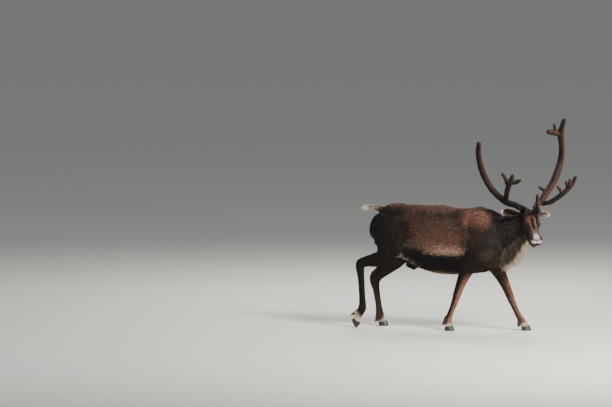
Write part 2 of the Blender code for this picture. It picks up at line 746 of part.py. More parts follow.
def add_head(bm):
    """Adds the skull, jaw and soft forms of the head."""
    own = bmesh.new()
    for rows in (SKULL, JAW):
        sections = [(x, 0, z, wide, above, below) for x, z, wide, above, below in rows]
        add_loft(own, eased(sections, 4), LEFT, 24)
    for centre, half_sizes in HEAD_MASSES:
        for side in (1, -1):
            add_ball(own, opposite(centre, side), half_sizes)
    own.transform(HEAD)
    mesh = bpy.data.meshes.new("head forms")
    own.to_mesh(mesh)
    own.free()
    bm.from_mesh(mesh)
    bpy.data.meshes.remove(mesh)


def burr_cut(side):
    """The cut between pedicle and antler, in the crown's frame."""
    rise = opposite(BURR_RISE, side)
    return opposite(BURR, side) + rise * GAP / 2, rise, BURR_CUT


def ear_cut(name):
    """The cut between head and ear, in the crown's frame."""
    root, way, _ = EARS[name]
    way = Vector(way).normalized()
    return Vector(root) + way * GAP / 2, way, EAR_CUT


def make_flesh():
    bm = bmesh.new()
    add_flesh(bm)
    add_head(bm)
    whole = fused(new_object("flesh", bm), FLESH_GRAIN, 9, FLESH_TRIANGLES)
    return parted(whole, FLESH_CUTS, FLESH_PARTS)


def add_lock(collection, root, way, out, bend, length, width, thick):
    """Adds one flat, tapered lock of hair that leaves the skin at the root and bends on its way to the tip."""
    bm = bmesh.new()
    rings = []
    for share, broad, deep in LOCK_SHAPE:
        centre = root + way * (length * share) + bend * (length * share * share)
        ahead = (way + bend * (2 * share)).normalized()
        across = ahead.cross(out).normalized()
        rise = across.cross(ahead)
        half_width, half_thick = across * (width * broad / 2), rise * (thick * deep / 2)
        ring = (centre - half_width, centre - half_thick, centre + half_width, centre + half_thick)
        rings.append([bm.verts.new(point) for point in ring])
    add_walls(bm, rings)
    bmesh.ops.recalc_face_normals(bm, faces=bm.faces)
    bmesh.ops.triangulate(bm, faces=bm.faces)
    lock = new_object("lock", bm)
    bpy.context.scene.collection.objects.unlink(lock)
    collection.objects.link(lock)


def mane_locks(neck, collection):
    """Locks that hang from the throat and the lower sides of the neck, each row staggered against the last."""
    chance = random.Random(7)
    skin = BVHTree.FromObject(neck, bpy.context.evaluated_depsgraph_get())
    fall = Vector(MANE_FALL).normalized()
    for row, (inside, fan, count, length) in enumerate(MANE_ROWS):
        for k in range(count):
            turn = math.radians(fan) * ((2 * k + 1) / count - 1 + chance.uniform(-0.04, 0.04))
            origin = Vector(inside) + Vector((chance.uniform(-0.007, 0.007), 0, 0))
            side = math.sin(turn)
            point, out, _, _ = skin.ray_cast(origin, Vector(MANE_OUT) * math.cos(turn) + LEFT * side)
            way = (fall + out * (0.10 + chance.uniform(0, 0.16))).normalized()
            across = Vector((chance.uniform(-0.10, 0.10), chance.uniform(-0.10, 0.10) - 0.12 * side, -0.16))
            reach = length * (1 + 0.25 * abs(side)) * chance.uniform(0.88, 1.06)
            width = LOCK_WIDTH * chance.uniform(0.85, 1.12)
            add_lock(collection, point - way * LOCK_SUNK, way, out, across, reach, width, LOCK_THICK)


def tail_locks(tail, collection):
    """Locks that lie along the tail toward its tip and droop below it."""
    chance = random.Random(11)
    skin = BVHTree.FromObject(tail, bpy.context.evaluated_depsgraph_get())
    start, end = Vector((TAIL_CUT, 0, TAIL[1][2])), Vector(TAIL[-1][:3])
    for row, (share, count, length) in enumerate(TAIL_ROWS):
        for k in range(count):
            turn = math.tau * (k + 0.5 * (row % 2) + chance.uniform(-0.1, 0.1)) / count
            origin = start.lerp(end, share * 0.86)
            point, out, _, _ = skin.ray_cast(origin, Vector((0, math.sin(turn), -math.cos(turn))))
            way = (Vector((-1.0, 0.0, -0.08)) + out * 0.22).normalized()
            bend = Vector((0, chance.uniform(-0.08, 0.08), -0.16))
            reach = length * chance.uniform(0.88, 1.10)
            add_lock(collection, point - way * LOCK_SUNK, way, out, bend, reach, TAIL_LOCK_WIDTH, TAIL_LOCK_THICK)


def grow_locks(node, grow, keep):
    """Fuses a set of locks into a node by one union, and trims what crosses the planes that part the node."""
    collection = bpy.data.collections.new("locks")
    bpy.context.scene.collection.children.link(collection)
    grow(node, collection)
    step = node.modifiers.new("locks", "BOOLEAN")
    step.operation = "UNION"
    step.solver = LOCK_SOLVER
    step.operand_type = "COLLECTION"
    step.collection = collection
    settle(node)
    for lock in list(collection.objects):
        bpy.data.objects.remove(lock, do_unlink=True)
    bpy.data.collections.remove(collection)
    tidy(node)
    for point, outward in keep:
        trim(node, point, outward)


def mouth_blade(side):
    """A thin curved blade that follows the lips of one side and leaves the line of the mouth."""
    half = MOUTH_WIDTH / 2
    last_x = MOUTH_LINE[-1][0]
    sections = []
    for x, y, z in eased(MOUTH_LINE, 3):
        onward = max(0.0, x - MOUTH_FRONT_IN) / (last_x - MOUTH_FRONT_IN) * (MOUTH_FRONT_OUT - last_x)
        sections.append((min(x, MOUTH_FRONT_IN), y * MOUTH_IN, x + onward, y * MOUTH_OUT, z))
    sections.append((MOUTH_FRONT_IN, 0.0, MOUTH_FRONT_OUT, 0.0, MOUTH_LINE[-1][2]))
    bm = bmesh.new()
    rings = []
    for inner_x, inner_y, outer_x, outer_y, z in sections:
        corners = (
            (inner_x, inner_y, z - half),
            (outer_x, outer_y, z - half),
            (outer_x, outer_y, z + half),
            (inner_x, inner_y, z + half),
        )
        rings.append([bm.verts.new(HEAD @ opposite(corner, side)) for corner in corners])
    add_walls(bm, rings)
    bmesh.ops.recalc_face_normals(bm, faces=bm.faces)
    return new_object("mouth", bm)


def lid_opening(side):
    """An almond-shaped prism that opens the lids."""
    look = opposite(EYE_LOOK, side)
    centre = opposite(EYE, side)
    along = (Vector((1, 0, 0)) - look * look.x).normalized()
    rise = look.cross(along)
    steps = 16
    outline = []
    for k in range(steps):
        turn = math.tau * k / steps
        height = math.copysign(abs(math.sin(turn)) ** 1.2, math.sin(turn)) * LID_OPENING / 2
        outline.append(along * (math.cos(turn) * LID_LENGTH / 2) + rise * height)
    bm = bmesh.new()
    rings = [
        [bm.verts.new(HEAD @ (centre + point + look * EYE_RADIUS * depth)) for point in outline]
        for depth in (0.3, 2.2)
    ]
    add_walls(bm, rings)
    bmesh.ops.recalc_face_normals(bm, faces=bm.faces)
    return new_object("lid opening", bm)


def ball(name, centre, half_sizes, segments, rings):
    """A ball in the head's frame."""
    bm = bmesh.new()
    add_ball(bm, centre, half_sizes, segments, rings)
    bm.transform(HEAD)
    return new_object(name, bm)


def make_head():
    """The head, cut off from the neck, with stubs for ears and antlers, sockets, lids, nostrils and mouth."""
    bm = bmesh.new()
    for rows in (NECK, MANE):
        add_loft(bm, eased(rows, 4), LEFT, 24)
    add_head(bm)
    cuts = []
    for side in (1, -1):
        rise = opposite(BURR_RISE, side)
        top = opposite(BURR, side)
        points = (opposite(PEDICLE_FOOT, side), top, top + rise * 0.03)
        add_tube(bm, [(*(CROWN @ point), PEDICLE_RADIUS) for point in points], 18, 3)
        cuts.append(burr_cut(side))
    for name, (root, way, _) in EARS.items():
        points = (Vector(root) - Vector(way) * 0.05, Vector(root) + Vector(way) * 0.025)
        add_tube(bm, [(*(CROWN @ point), EAR_STUB) for point in points], 16, 3)
        cuts.append(ear_cut(name))
    head = fused(new_object("head", bm), HEAD_GRAIN, 6, HEAD_TRIANGLES)
    centre, way, _ = NAPE_CUT
    trim(head, Vector(centre) + Vector(way).normalized() * GAP / 2, -Vector(way))
    combine(head, slabs(cuts, CROWN), "DIFFERENCE")
    tidy(head)
    for side in (1, -1):
        eye = opposite(EYE, side)
        combine(head, ball("lids", eye, (EYE_RADIUS + LID_THICK,) * 3, 20, 12), "UNION")
        combine(head, lid_opening(side), "DIFFERENCE")
        combine(head, ball("socket", eye, (EYE_RADIUS + GAP,) * 3, 20, 12), "DIFFERENCE")
        combine(head, ball("nostril", opposite(NOSTRIL, side), NOSTRIL_HALF, 12, 8), "DIFFERENCE")
        combine(head, mouth_blade(side), "DIFFERENCE")
    tidy(head)
    return head


def make_ear(name):
    """A cupped ear that starts as a stalk and ends in a rounded tip."""
    root, way, opens = (Vector(part) for part in EARS[name])
    way.normalize()
    opens = (opens - way * opens.dot(way)).normalized()
    start = root + way * GAP
    across = way.cross(opens)
    bm = bmesh.new()
    rings = []
    for share, radius, closes, hollow in EAR_CUP:
        centre = start + way * (EAR_LENGTH * share) - opens * (EAR_BEND * share * share)
        turns = [math.radians(closes) * (2 * k / (EAR_POINTS - 1) - 1) for k in range(EAR_POINTS)]
        outside = [(turn, radius) for turn in turns]
        inside = [(turn, (radius - EAR_THICK) * hollow) for turn in reversed(turns)]
        rings.append([
            bm.verts.new(CROWN @ (centre + (across * math.sin(turn) - opens * math.cos(turn)) * reach))
            for turn, reach in outside + inside
        ])
    add_walls(bm, rings)
    bmesh.ops.recalc_face_normals(bm, faces=bm.faces)
    bmesh.ops.triangulate(bm, faces=bm.faces)
    return new_object(name, bm)


def make_antler(tubes, cuts, parts, side):
    """One antler, shaped whole in velvet and split at its main forks."""
    bm = bmesh.new()
    for rows in tubes.values():
        add_tube(bm, [(*(CROWN @ Vector(row[:3])), row[3]) for row in rows], 14, 4)
    whole = fused(new_object("antler", bm), ANTLER_GRAIN, 3, ANTLER_TRIANGLES)
    return parted(whole, (burr_cut(side), *cuts), parts, CROWN)


def foot_frame(leg):
    place, tip, _ = FEET[leg]
    return Matrix.Translation(place) @ Matrix.Rotation(math.radians(tip), 4, "Y")


def pastern_frame(leg):
    place, _, lean = FEET[leg]
    return Matrix.Translation(place) @ Matrix.Rotation(math.radians(lean), 4, "Y")


def make_hoof(name, frame, side):
    """One half of a cloven hoof: a flat sole, a wall that leans back, and a top that slopes to the heel."""
    front, heel = HOOF[0][0], min(x for x, _ in HOOF)
    inner = HOOF[-1][1]
    bm = bmesh.new()
    rings = []
    for high, low, size, lean in HOOF_RINGS:
        ring = []
        for x, y in HOOF:
            share = (x - heel) / (front - heel)
            point = (x * size + lean, inner + (y - inner) * size, low + (high - low) * share)
            ring.append(bm.verts.new(frame @ opposite(point, side)))
        rings.append(ring)
    add_walls(bm, rings)
    bmesh.ops.recalc_face_normals(bm, faces=bm.faces)
    hoof = new_object(name, bm)
    if frame.col[2].z < 1:
        trim(hoof, Vector(), -UP)
    return hoof


def claw_peg(name, frame, side, start, stop, radii):
    """A tapered peg along the way that a dewclaw points, from start to stop."""
    way = opposite(DEWCLAW_WAY, side)
    centre = opposite(DEWCLAW, side) + way * (start + stop) / 2
    place = frame @ Matrix.Translation(centre) @ facing(way)
    bm = bmesh.new()
    bmesh.ops.create_cone(
        bm,
        cap_ends=True,
        segments=DEWCLAW_SIDES,
        radius1=radii[0],
        radius2=radii[1],
        depth=stop - start,
        matrix=place,
    )
    return new_object(name, bm)


def hoof_top():
    """Height of the hoof's top over the foot's own point, and how far it rises for each metre forward."""
    high, low, size, lean = HOOF_RINGS[-1]
    front, heel = HOOF[0][0] * size + lean, min(x for x, _ in HOOF) * size + lean
    slope = (high - low) / (front - heel)
    return low - heel * slope, slope


def make_foot(leg, lower):
    """Two hooves and two dewclaws, and the places on the leg that they grow from."""
    frame = foot_frame(leg)
    pastern = pastern_frame(leg)
    height, slope = hoof_top()
    rise = turned(frame, (-slope, 0, 1))
    trim(lower, frame @ Vector((0, 0, height)) + rise * GAP, -rise)
    collar = DEWCLAW_ROOT + DEWCLAW_COLLAR
    clear = (DEWCLAW_ROOT + GAP, DEWCLAW_TIP + GAP)
    made = {}
    for word, side in (("left", 1), ("right", -1)):
        name = f"{leg}_hoof_{word}"
        made[name] = make_hoof(name, frame, side)
        combine(lower, claw_peg("stub", pastern, side, -DEWCLAW_SUNK, DEWCLAW_COLLAR, (collar, collar)), "UNION")
        combine(lower, claw_peg("clearance", pastern, side, 0.0, DEWCLAW_LENGTH + GAP, clear), "DIFFERENCE")
        name = f"{leg}_dewclaw_{word}"
        made[name] = claw_peg(name, pastern, side, GAP, DEWCLAW_LENGTH, (DEWCLAW_ROOT, DEWCLAW_TIP))
    return made


def stand_on_origin(objects):
    """Moves the whole animal so that it stands on the origin, under the middle of its box."""
    corners = [vert.co for obj in objects for vert in obj.data.vertices]
    low = [min(corner[axis] for corner in corners) for axis in range(3)]
    high = [max(corner[axis] for corner in corners) for axis in range(3)]
    shift = Matrix.Translation((-(low[0] + high[0]) / 2, -(low[1] + high[1]) / 2, -low[2]))
    for obj in objects:
        obj.data.transform(shift)


def finish(name, obj, material):
    obj.name = name
    obj.data.name = name
    obj.data.materials.clear()
    obj.data.materials.append(material)
    obj.data.shade_smooth()
    obj.data.set_sharp_from_angle(angle=SMOOTH_ANGLE)


def main():
    clear_scene()
    coat = paint("summer coat", (0.090, 0.058, 0.040), 0.9)
    finishes = {
        "tail": paint("pale coat", (0.420, 0.370, 0.310), 0.9),
        "antler": paint("antler velvet", (0.075, 0.038, 0.024), 0.85),
        "hoof": paint("hoof horn", (0.030, 0.026, 0.024), 0.5),
        "dewclaw": paint("dewclaw horn", (0.030, 0.026, 0.024), 0.5),
        "eye": paint("wet eye", (0.010, 0.007, 0.006), 0.08),
    }
    made = make_flesh()
    centre, way, _ = CHEST_CUT
    across = Vector(way).normalized()
    grow_locks(made["neck"], mane_locks, ((Vector(centre) + across * GAP / 2, -across),))
    grow_locks(made["tail"], tail_locks, ())
    made["head"] = make_head()
    for side, word in ((1, "left"), (-1, "right")):
        made[f"eye_{word}"] = ball(f"eye_{word}", opposite(EYE, side), (EYE_RADIUS,) * 3, 16, 10)
        made[f"ear_{word}"] = make_ear(f"ear_{word}")
    made.update(make_antler(ANTLER_LEFT, ANTLER_LEFT_CUTS, ANTLER_LEFT_PARTS, 1))
    made.update(make_antler(ANTLER_RIGHT, ANTLER_RIGHT_CUTS, ANTLER_RIGHT_PARTS, -1))
    for leg in FEET:
        made.update(make_foot(leg, made[f"{leg}_lower"]))
    for name, obj in made.items():
        fitting = [material for word, material in finishes.items() if word in name]
        finish(name, obj, fitting[0] if fitting else coat)
    stand_on_origin(list(made.values()))


main()
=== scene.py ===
"""A reindeer bull in velvet and dark summer coat, walking: a still museum model on a plain floor."""

import math

import bmesh
import bpy
import numpy as np
from mathutils import Matrix, Vector


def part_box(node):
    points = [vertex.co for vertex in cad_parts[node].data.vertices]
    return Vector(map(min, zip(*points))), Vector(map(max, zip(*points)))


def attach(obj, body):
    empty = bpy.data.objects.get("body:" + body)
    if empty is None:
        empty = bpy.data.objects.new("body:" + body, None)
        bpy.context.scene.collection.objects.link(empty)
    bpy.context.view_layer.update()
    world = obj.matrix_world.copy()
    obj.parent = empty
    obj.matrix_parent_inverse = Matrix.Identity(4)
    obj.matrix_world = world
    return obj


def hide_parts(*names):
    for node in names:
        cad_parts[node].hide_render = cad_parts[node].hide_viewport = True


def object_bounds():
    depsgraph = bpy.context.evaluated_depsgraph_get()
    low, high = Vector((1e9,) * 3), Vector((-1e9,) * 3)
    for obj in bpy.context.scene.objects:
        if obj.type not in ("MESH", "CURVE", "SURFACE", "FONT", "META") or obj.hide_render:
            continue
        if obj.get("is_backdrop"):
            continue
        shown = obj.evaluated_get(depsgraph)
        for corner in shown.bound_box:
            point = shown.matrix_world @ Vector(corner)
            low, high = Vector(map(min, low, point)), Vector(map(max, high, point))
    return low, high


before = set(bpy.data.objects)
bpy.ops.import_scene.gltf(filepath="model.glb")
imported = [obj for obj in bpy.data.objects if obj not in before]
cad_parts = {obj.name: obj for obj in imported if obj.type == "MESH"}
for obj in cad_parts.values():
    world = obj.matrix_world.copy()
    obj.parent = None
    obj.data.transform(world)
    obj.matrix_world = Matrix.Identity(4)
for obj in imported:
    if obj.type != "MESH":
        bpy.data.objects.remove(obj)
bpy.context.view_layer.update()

# Skin
# The hide of torso, neck, head, tail and legs in one piece, shaped over the muscle and bone under it.
# It lies deeper than the outline of the animal by the depth of the coat, and the hair stands on it.
UP = Vector((0, 0, 1))
LEFT = Vector((0, 1, 0))
POLL = Vector((0.815, -0.098, 1.105))
HEAD_TURN = math.radians(-52)
FACE_TURN = math.radians(-54.4)
HEAD_NOD = math.radians(43)
CROWN = Matrix.Translation((POLL.x, POLL.y, 0)) @ Matrix.Rotation(HEAD_TURN, 4, "Z")
HEAD = Matrix.Translation(POLL) @ Matrix.Rotation(FACE_TURN, 4, "Z") @ Matrix.Rotation(HEAD_NOD, 4, "Y")
SKIN_GRAIN = 0.0056
BODY_FACES = 60000
EAR_ROOT_RADIUS = 0.0165
DEWCLAW_COLLAR = 0.0035

# Along the torso: heights of back and belly, half width, and how high up it is widest
TORSO = (
    (-0.676, 1.000, 0.885, 0.062, 0.50),
    (-0.658, 1.032, 0.840, 0.108, 0.50),
    (-0.620, 1.062, 0.785, 0.134, 0.49),
    (-0.560, 1.092, 0.730, 0.152, 0.48),
    (-0.460, 1.122, 0.665, 0.170, 0.46),
    (-0.350, 1.132, 0.610, 0.182, 0.44),
    (-0.200, 1.128, 0.545, 0.198, 0.42),
    (-0.050, 1.121, 0.498, 0.208, 0.42),
    (0.080, 1.109, 0.490, 0.208, 0.43),
    (0.200, 1.098, 0.500, 0.197, 0.45),
    (0.310, 1.103, 0.512, 0.182, 0.46),
    (0.400, 1.100, 0.525, 0.168, 0.46),
    (0.480, 1.065, 0.548, 0.152, 0.46),
    (0.550, 1.010, 0.590, 0.125, 0.45),
    (0.600, 0.940, 0.660, 0.085, 0.45),
)
# Neck, throat and tail: centre, half width, and reach above and below it
NECK = (
    (0.360, 0.000, 0.860, 0.130, 0.215, 0.230),
    (0.470, -0.004, 0.865, 0.122, 0.185, 0.215),
    (0.570, -0.020, 0.885, 0.110, 0.160, 0.190),
    (0.660, -0.045, 0.925, 0.098, 0.140, 0.160),
    (0.735, -0.070, 0.970, 0.078, 0.108, 0.124),
    (0.795, -0.092, 1.018, 0.062, 0.070, 0.088),
    (0.840, -0.115, 1.035, 0.050, 0.045, 0.060),
)
MANE = (
    (0.545, -0.005, 0.725, 0.064, 0.080, 0.088),
    (0.585, -0.012, 0.755, 0.062, 0.080, 0.110),
    (0.625, -0.025, 0.790, 0.060, 0.080, 0.125),
    (0.665, -0.040, 0.830, 0.056, 0.080, 0.130),
    (0.705, -0.056, 0.870, 0.050, 0.070, 0.118),
    (0.745, -0.074, 0.905, 0.040, 0.060, 0.082),
    (0.775, -0.088, 0.930, 0.028, 0.040, 0.040),
)
TAIL = (
    (-0.560, 0.000, 1.060, 0.036, 0.030, 0.034),
    (-0.620, 0.000, 1.074, 0.034, 0.024, 0.030),
    (-0.670, 0.000, 1.084, 0.034, 0.021, 0.028),
    (-0.710, 0.000, 1.086, 0.030, 0.019, 0.028),
    (-0.742, 0.000, 1.078, 0.018, 0.012, 0.018),
)
# Limbs: centre, half thickness, and reach ahead of and behind it
LIMBS = {
    "foreleg_right": (
        (0.395, -0.110, 0.900, 0.050, 0.090, 0.110),
        (0.375, -0.140, 0.780, 0.068, 0.125, 0.120),
        (0.335, -0.150, 0.660, 0.064, 0.112, 0.105),
        (0.268, -0.150, 0.565, 0.050, 0.070, 0.080),
        (0.222, -0.142, 0.480, 0.040, 0.054, 0.056),
        (0.183, -0.135, 0.390, 0.033, 0.044, 0.044),
        (0.158, -0.130, 0.325, 0.034, 0.041, 0.039),
        (0.143, -0.130, 0.275, 0.028, 0.034, 0.034),
        (0.116, -0.130, 0.200, 0.024, 0.029, 0.030),
        (0.088, -0.130, 0.130, 0.026, 0.030, 0.031),
        (0.078, -0.130, 0.098, 0.031, 0.034, 0.034),
        (0.080, -0.130, 0.066, 0.034, 0.032, 0.033),
        (0.086, -0.130, 0.015, 0.035, 0.033, 0.033),
    ),
    "foreleg_left": (
        (0.420, 0.110, 0.900, 0.050, 0.090, 0.110),
        (0.405, 0.140, 0.780, 0.068, 0.120, 0.120),
        (0.405, 0.145, 0.660, 0.064, 0.105, 0.110),
        (0.450, 0.138, 0.560, 0.050, 0.074, 0.078),
        (0.500, 0.126, 0.470, 0.040, 0.056, 0.056),
        (0.548, 0.112, 0.380, 0.033, 0.044, 0.043),
        (0.580, 0.103, 0.312, 0.034, 0.041, 0.038),
        (0.602, 0.100, 0.262, 0.028, 0.034, 0.034),
        (0.638, 0.100, 0.188, 0.024, 0.029, 0.030),
        (0.672, 0.100, 0.122, 0.026, 0.030, 0.031),
        (0.693, 0.100, 0.092, 0.031, 0.034, 0.034),
        (0.712, 0.100, 0.064, 0.035, 0.033, 0.034),
        (0.740, 0.100, 0.015, 0.035, 0.033, 0.033),
    ),
    "hindleg_right": (
        (-0.450, -0.090, 1.000, 0.060, 0.130, 0.130),
        (-0.470, -0.120, 0.900, 0.085, 0.160, 0.172),
        (-0.480, -0.135, 0.800, 0.088, 0.165, 0.138),
        (-0.490, -0.145, 0.715, 0.075, 0.140, 0.120),
        (-0.545, -0.145, 0.650, 0.056, 0.098, 0.068),
        (-0.620, -0.138, 0.615, 0.044, 0.068, 0.050),
        (-0.690, -0.130, 0.598, 0.036, 0.050, 0.042),
        (-0.740, -0.123, 0.575, 0.034, 0.042, 0.040),
        (-0.752, -0.120, 0.520, 0.030, 0.039, 0.036),
        (-0.744, -0.120, 0.420, 0.025, 0.034, 0.032),
        (-0.737, -0.120, 0.300, 0.024, 0.032, 0.031),
        (-0.733, -0.120, 0.215, 0.028, 0.036, 0.034),
        (-0.738, -0.120, 0.170, 0.032, 0.040, 0.039),
        (-0.758, -0.120, 0.130, 0.033, 0.034, 0.036),
        (-0.806, -0.120, 0.050, 0.034, 0.033, 0.033),
    ),
    "hindleg_left": (
        (-0.430, 0.090, 1.000, 0.060, 0.130, 0.130),
        (-0.450, 0.120, 0.900, 0.085, 0.160, 0.172),
        (-0.455, 0.135, 0.800, 0.088, 0.160, 0.140),
        (-0.458, 0.145, 0.705, 0.075, 0.138, 0.122),
        (-0.496, 0.145, 0.615, 0.056, 0.098, 0.074),
        (-0.560, 0.138, 0.540, 0.044, 0.070, 0.052),
        (-0.628, 0.130, 0.478, 0.036, 0.050, 0.042),
        (-0.674, 0.123, 0.430, 0.034, 0.044, 0.040),
        (-0.684, 0.120, 0.370, 0.030, 0.037, 0.036),
        (-0.672, 0.120, 0.280, 0.025, 0.032, 0.032),
        (-0.656, 0.120, 0.190, 0.024, 0.030, 0.032),
        (-0.648, 0.120, 0.128, 0.028, 0.035, 0.036),
        (-0.643, 0.120, 0.097, 0.032, 0.038, 0.038),
        (-0.630, 0.120, 0.064, 0.034, 0.033, 0.034),
        (-0.606, 0.120, 0.015, 0.034, 0.033, 0.033),
    ),
}
SINEWS = {
    "sinew_right": (
        (-0.596, -0.143, 0.672, 0.022, 0.022, 0.024),
        (-0.655, -0.137, 0.644, 0.017, 0.018, 0.026),
        (-0.715, -0.130, 0.622, 0.016, 0.017, 0.026),
        (-0.764, -0.124, 0.598, 0.018, 0.016, 0.024),
        (-0.776, -0.121, 0.556, 0.018, 0.016, 0.024),
        (-0.766, -0.120, 0.488, 0.017, 0.016, 0.022),
    ),
    "sinew_left": (
        (-0.545, 0.144, 0.634, 0.022, 0.022, 0.024),
        (-0.615, 0.137, 0.556, 0.017, 0.018, 0.026),
        (-0.670, 0.129, 0.504, 0.016, 0.017, 0.026),
        (-0.712, 0.123, 0.460, 0.018, 0.016, 0.024),
        (-0.718, 0.121, 0.410, 0.018, 0.016, 0.024),
        (-0.702, 0.120, 0.348, 0.017, 0.016, 0.022),
    ),
}
# Shoulders, withers, brisket, croup, flanks and sheath: centre and half sizes
MASSES = (
    ((0.360, 0.108, 0.880), (0.130, 0.080, 0.200)),
    ((0.360, -0.108, 0.880), (0.130, 0.080, 0.200)),
    ((0.330, 0.000, 1.010), (0.130, 0.090, 0.105)),
    ((0.520, 0.000, 0.660), (0.070, 0.100, 0.108)),
    ((-0.420, 0.000, 1.052), (0.160, 0.120, 0.074)),
    ((-0.300, 0.110, 0.690), (0.110, 0.060, 0.070)),
    ((-0.300, -0.110, 0.690), (0.110, 0.060, 0.070)),
    ((-0.290, 0.000, 0.568), (0.075, 0.024, 0.040)),
    ((-0.284, 0.000, 0.538), (0.020, 0.014, 0.026)),
)
# Along the face from the poll: centre height, half width, and reach above and below it
SKULL = (
    (-0.035, -0.060, 0.045, 0.042, 0.045),
    (0.000, -0.052, 0.061, 0.052, 0.062),
    (0.045, -0.050, 0.069, 0.060, 0.075),
    (0.090, -0.050, 0.073, 0.067, 0.080),
    (0.130, -0.050, 0.076, 0.068, 0.075),
    (0.165, -0.051, 0.070, 0.064, 0.068),
    (0.205, -0.052, 0.057, 0.059, 0.057),
    (0.250, -0.053, 0.053, 0.055, 0.050),
    (0.286, -0.052, 0.057, 0.056, 0.046),
    (0.316, -0.054, 0.060, 0.050, 0.043),
    (0.340, -0.059, 0.059, 0.040, 0.039),
    (0.358, -0.064, 0.050, 0.028, 0.032),
    (0.368, -0.067, 0.034, 0.016, 0.022),
)
JAW = (
    (0.015, -0.100, 0.042, 0.040, 0.040),
    (0.055, -0.112, 0.051, 0.050, 0.046),
    (0.100, -0.116, 0.051, 0.050, 0.044),
    (0.150, -0.112, 0.045, 0.040, 0.037),
    (0.210, -0.108, 0.039, 0.031, 0.033),
    (0.265, -0.104, 0.038, 0.028, 0.028),
    (0.300, -0.099, 0.041, 0.027, 0.026),
    (0.326, -0.090, 0.040, 0.024, 0.022),
    (0.344, -0.082, 0.028, 0.015, 0.015),
)
# Brow, cheek, face ridge, nostril and upper lip, on the left
HEAD_MASSES = (
    ((0.135, 0.062, -0.012), (0.036, 0.016, 0.014)),
    ((0.085, 0.046, -0.100), (0.062, 0.026, 0.048)),
    ((0.175, 0.054, -0.070), (0.060, 0.014, 0.014)),
    ((0.328, 0.040, -0.036), (0.027, 0.023, 0.025)),
    ((0.340, 0.026, -0.058), (0.029, 0.034, 0.018)),
)
# Stubs of skull under the antlers, on the left
PEDICLE_FOOT = Vector((0.035, 0.045, 1.050))
BURR = Vector((0.013, 0.063, 1.108))
BURR_RISE = Vector((0.00, 0.34, 0.94)).normalized()
PEDICLE_RADIUS = 0.027
# Ears: where each leaves the head, which way it points and which way it opens
EARS = {
    "ear_left": ((-0.022, 0.079, 1.066), (-0.100, 0.975, -0.180), (0.850, 0.100, -0.200)),
    "ear_right": ((-0.018, -0.084, 1.070), (-0.223, -0.968, 0.080), (0.850, -0.150, -0.200)),
}
EYE_RADIUS = 0.0200
EYE = Vector((0.148, 0.0595, -0.036))
EYE_LOOK = Vector((0.20, 1.0, 0.10)).normalized()
MOUTH_LINE = (
    (0.248, 0.0390, -0.0860),
    (0.285, 0.0430, -0.0790),
    (0.315, 0.0460, -0.0700),
    (0.336, 0.0420, -0.0635),
    (0.350, 0.0280, -0.0600),
    (0.356, 0.0100, -0.0590),
)
# Feet: the point on the ground under each, how far the toe tips down, and how far the pastern leans ahead
FEET = {
    "foreleg_right": ((0.086, -0.130, 0.0), 0, 0),
    "foreleg_left": ((0.735, 0.100, 0.0), 0, -18),
    "hindleg_left": ((-0.611, 0.120, 0.0), 0, -14),
    "hindleg_right": ((-0.8125, -0.120, 0.0418), 66, 31),
}
HOOF_RINGS = ((0.000, 0.000, 0.95, 0.000), (0.006, 0.006, 1.00, -0.001), (0.048, 0.030, 0.84, -0.011))
HOOF = (
    (0.050, 0.009),
    (0.043, 0.021),
    (0.026, 0.033),
    (0.004, 0.040),
    (-0.018, 0.038),
    (-0.032, 0.028),
    (-0.036, 0.014),
    (-0.031, 0.003),
    (0.005, 0.003),
    (0.040, 0.003),
)
# Dewclaws: root on the fetlock, way, length, and radius at root and tip, on the left
DEWCLAW = Vector((-0.040, 0.020, 0.086))
DEWCLAW_WAY = Vector((-0.34, 0.18, -0.92)).normalized()
DEWCLAW_LENGTH = 0.042
DEWCLAW_ROOT = 0.0115
DEWCLAW_TIP = 0.0060


def ramp(values, start, end):
    """0 before start and 1 after end, with soft ends."""
    share = np.clip((values - start) / (end - start), 0, 1)
    return share * share * (3 - 2 * share)


def eased(rows, steps):
    """The rows with more between them, on a smooth curve through them all."""
    made = []
    last = len(rows) - 1
    for i in range(last):
        four = [np.array(rows[k], float) for k in (max(i - 1, 0), i, i + 1, min(i + 2, last))]
        for k in range(steps):
            t = k / steps
            made.append(0.5 * (2 * four[1] + (four[2] - four[0]) * t
                               + (2 * four[0] - 5 * four[1] + 4 * four[2] - four[3]) * t * t
                               + (3 * four[1] - four[0] - 3 * four[2] + four[3]) * t**3))
    made.append(np.array(rows[-1], float))
    return made


def add_walls(bm, rings):
    """Joins rings of points into a closed skin."""
    count = len(rings[0])
    for a, b in zip(rings, rings[1:]):
        for k in range(count):
            n = (k + 1) % count
            bm.faces.new((a[k], a[n], b[n], b[k]))
    bm.faces.new(list(reversed(rings[0])))
    bm.faces.new(rings[-1])


def add_loft(bm, rows, across, sides):
    """Adds a closed form through oval sections."""
    rings = []
    last = len(rows) - 1
    centres = [Vector(row[:3]) for row in rows]
    for i, row in enumerate(rows):
        wide, above, below = row[3:6]
        ahead = (centres[min(i + 1, last)] - centres[max(i - 1, 0)]).normalized()
        side = (across - ahead * across.dot(ahead)).normalized()
        rise = ahead.cross(side)
        ring = []
        for k in range(sides):
            turn = math.tau * k / sides
            reach = above if math.sin(turn) > 0 else below
            ring.append(bm.verts.new(
                centres[i] + side * (wide * math.cos(turn)) + rise * (reach * math.sin(turn))
            ))
        rings.append(ring)
    add_walls(bm, rings)


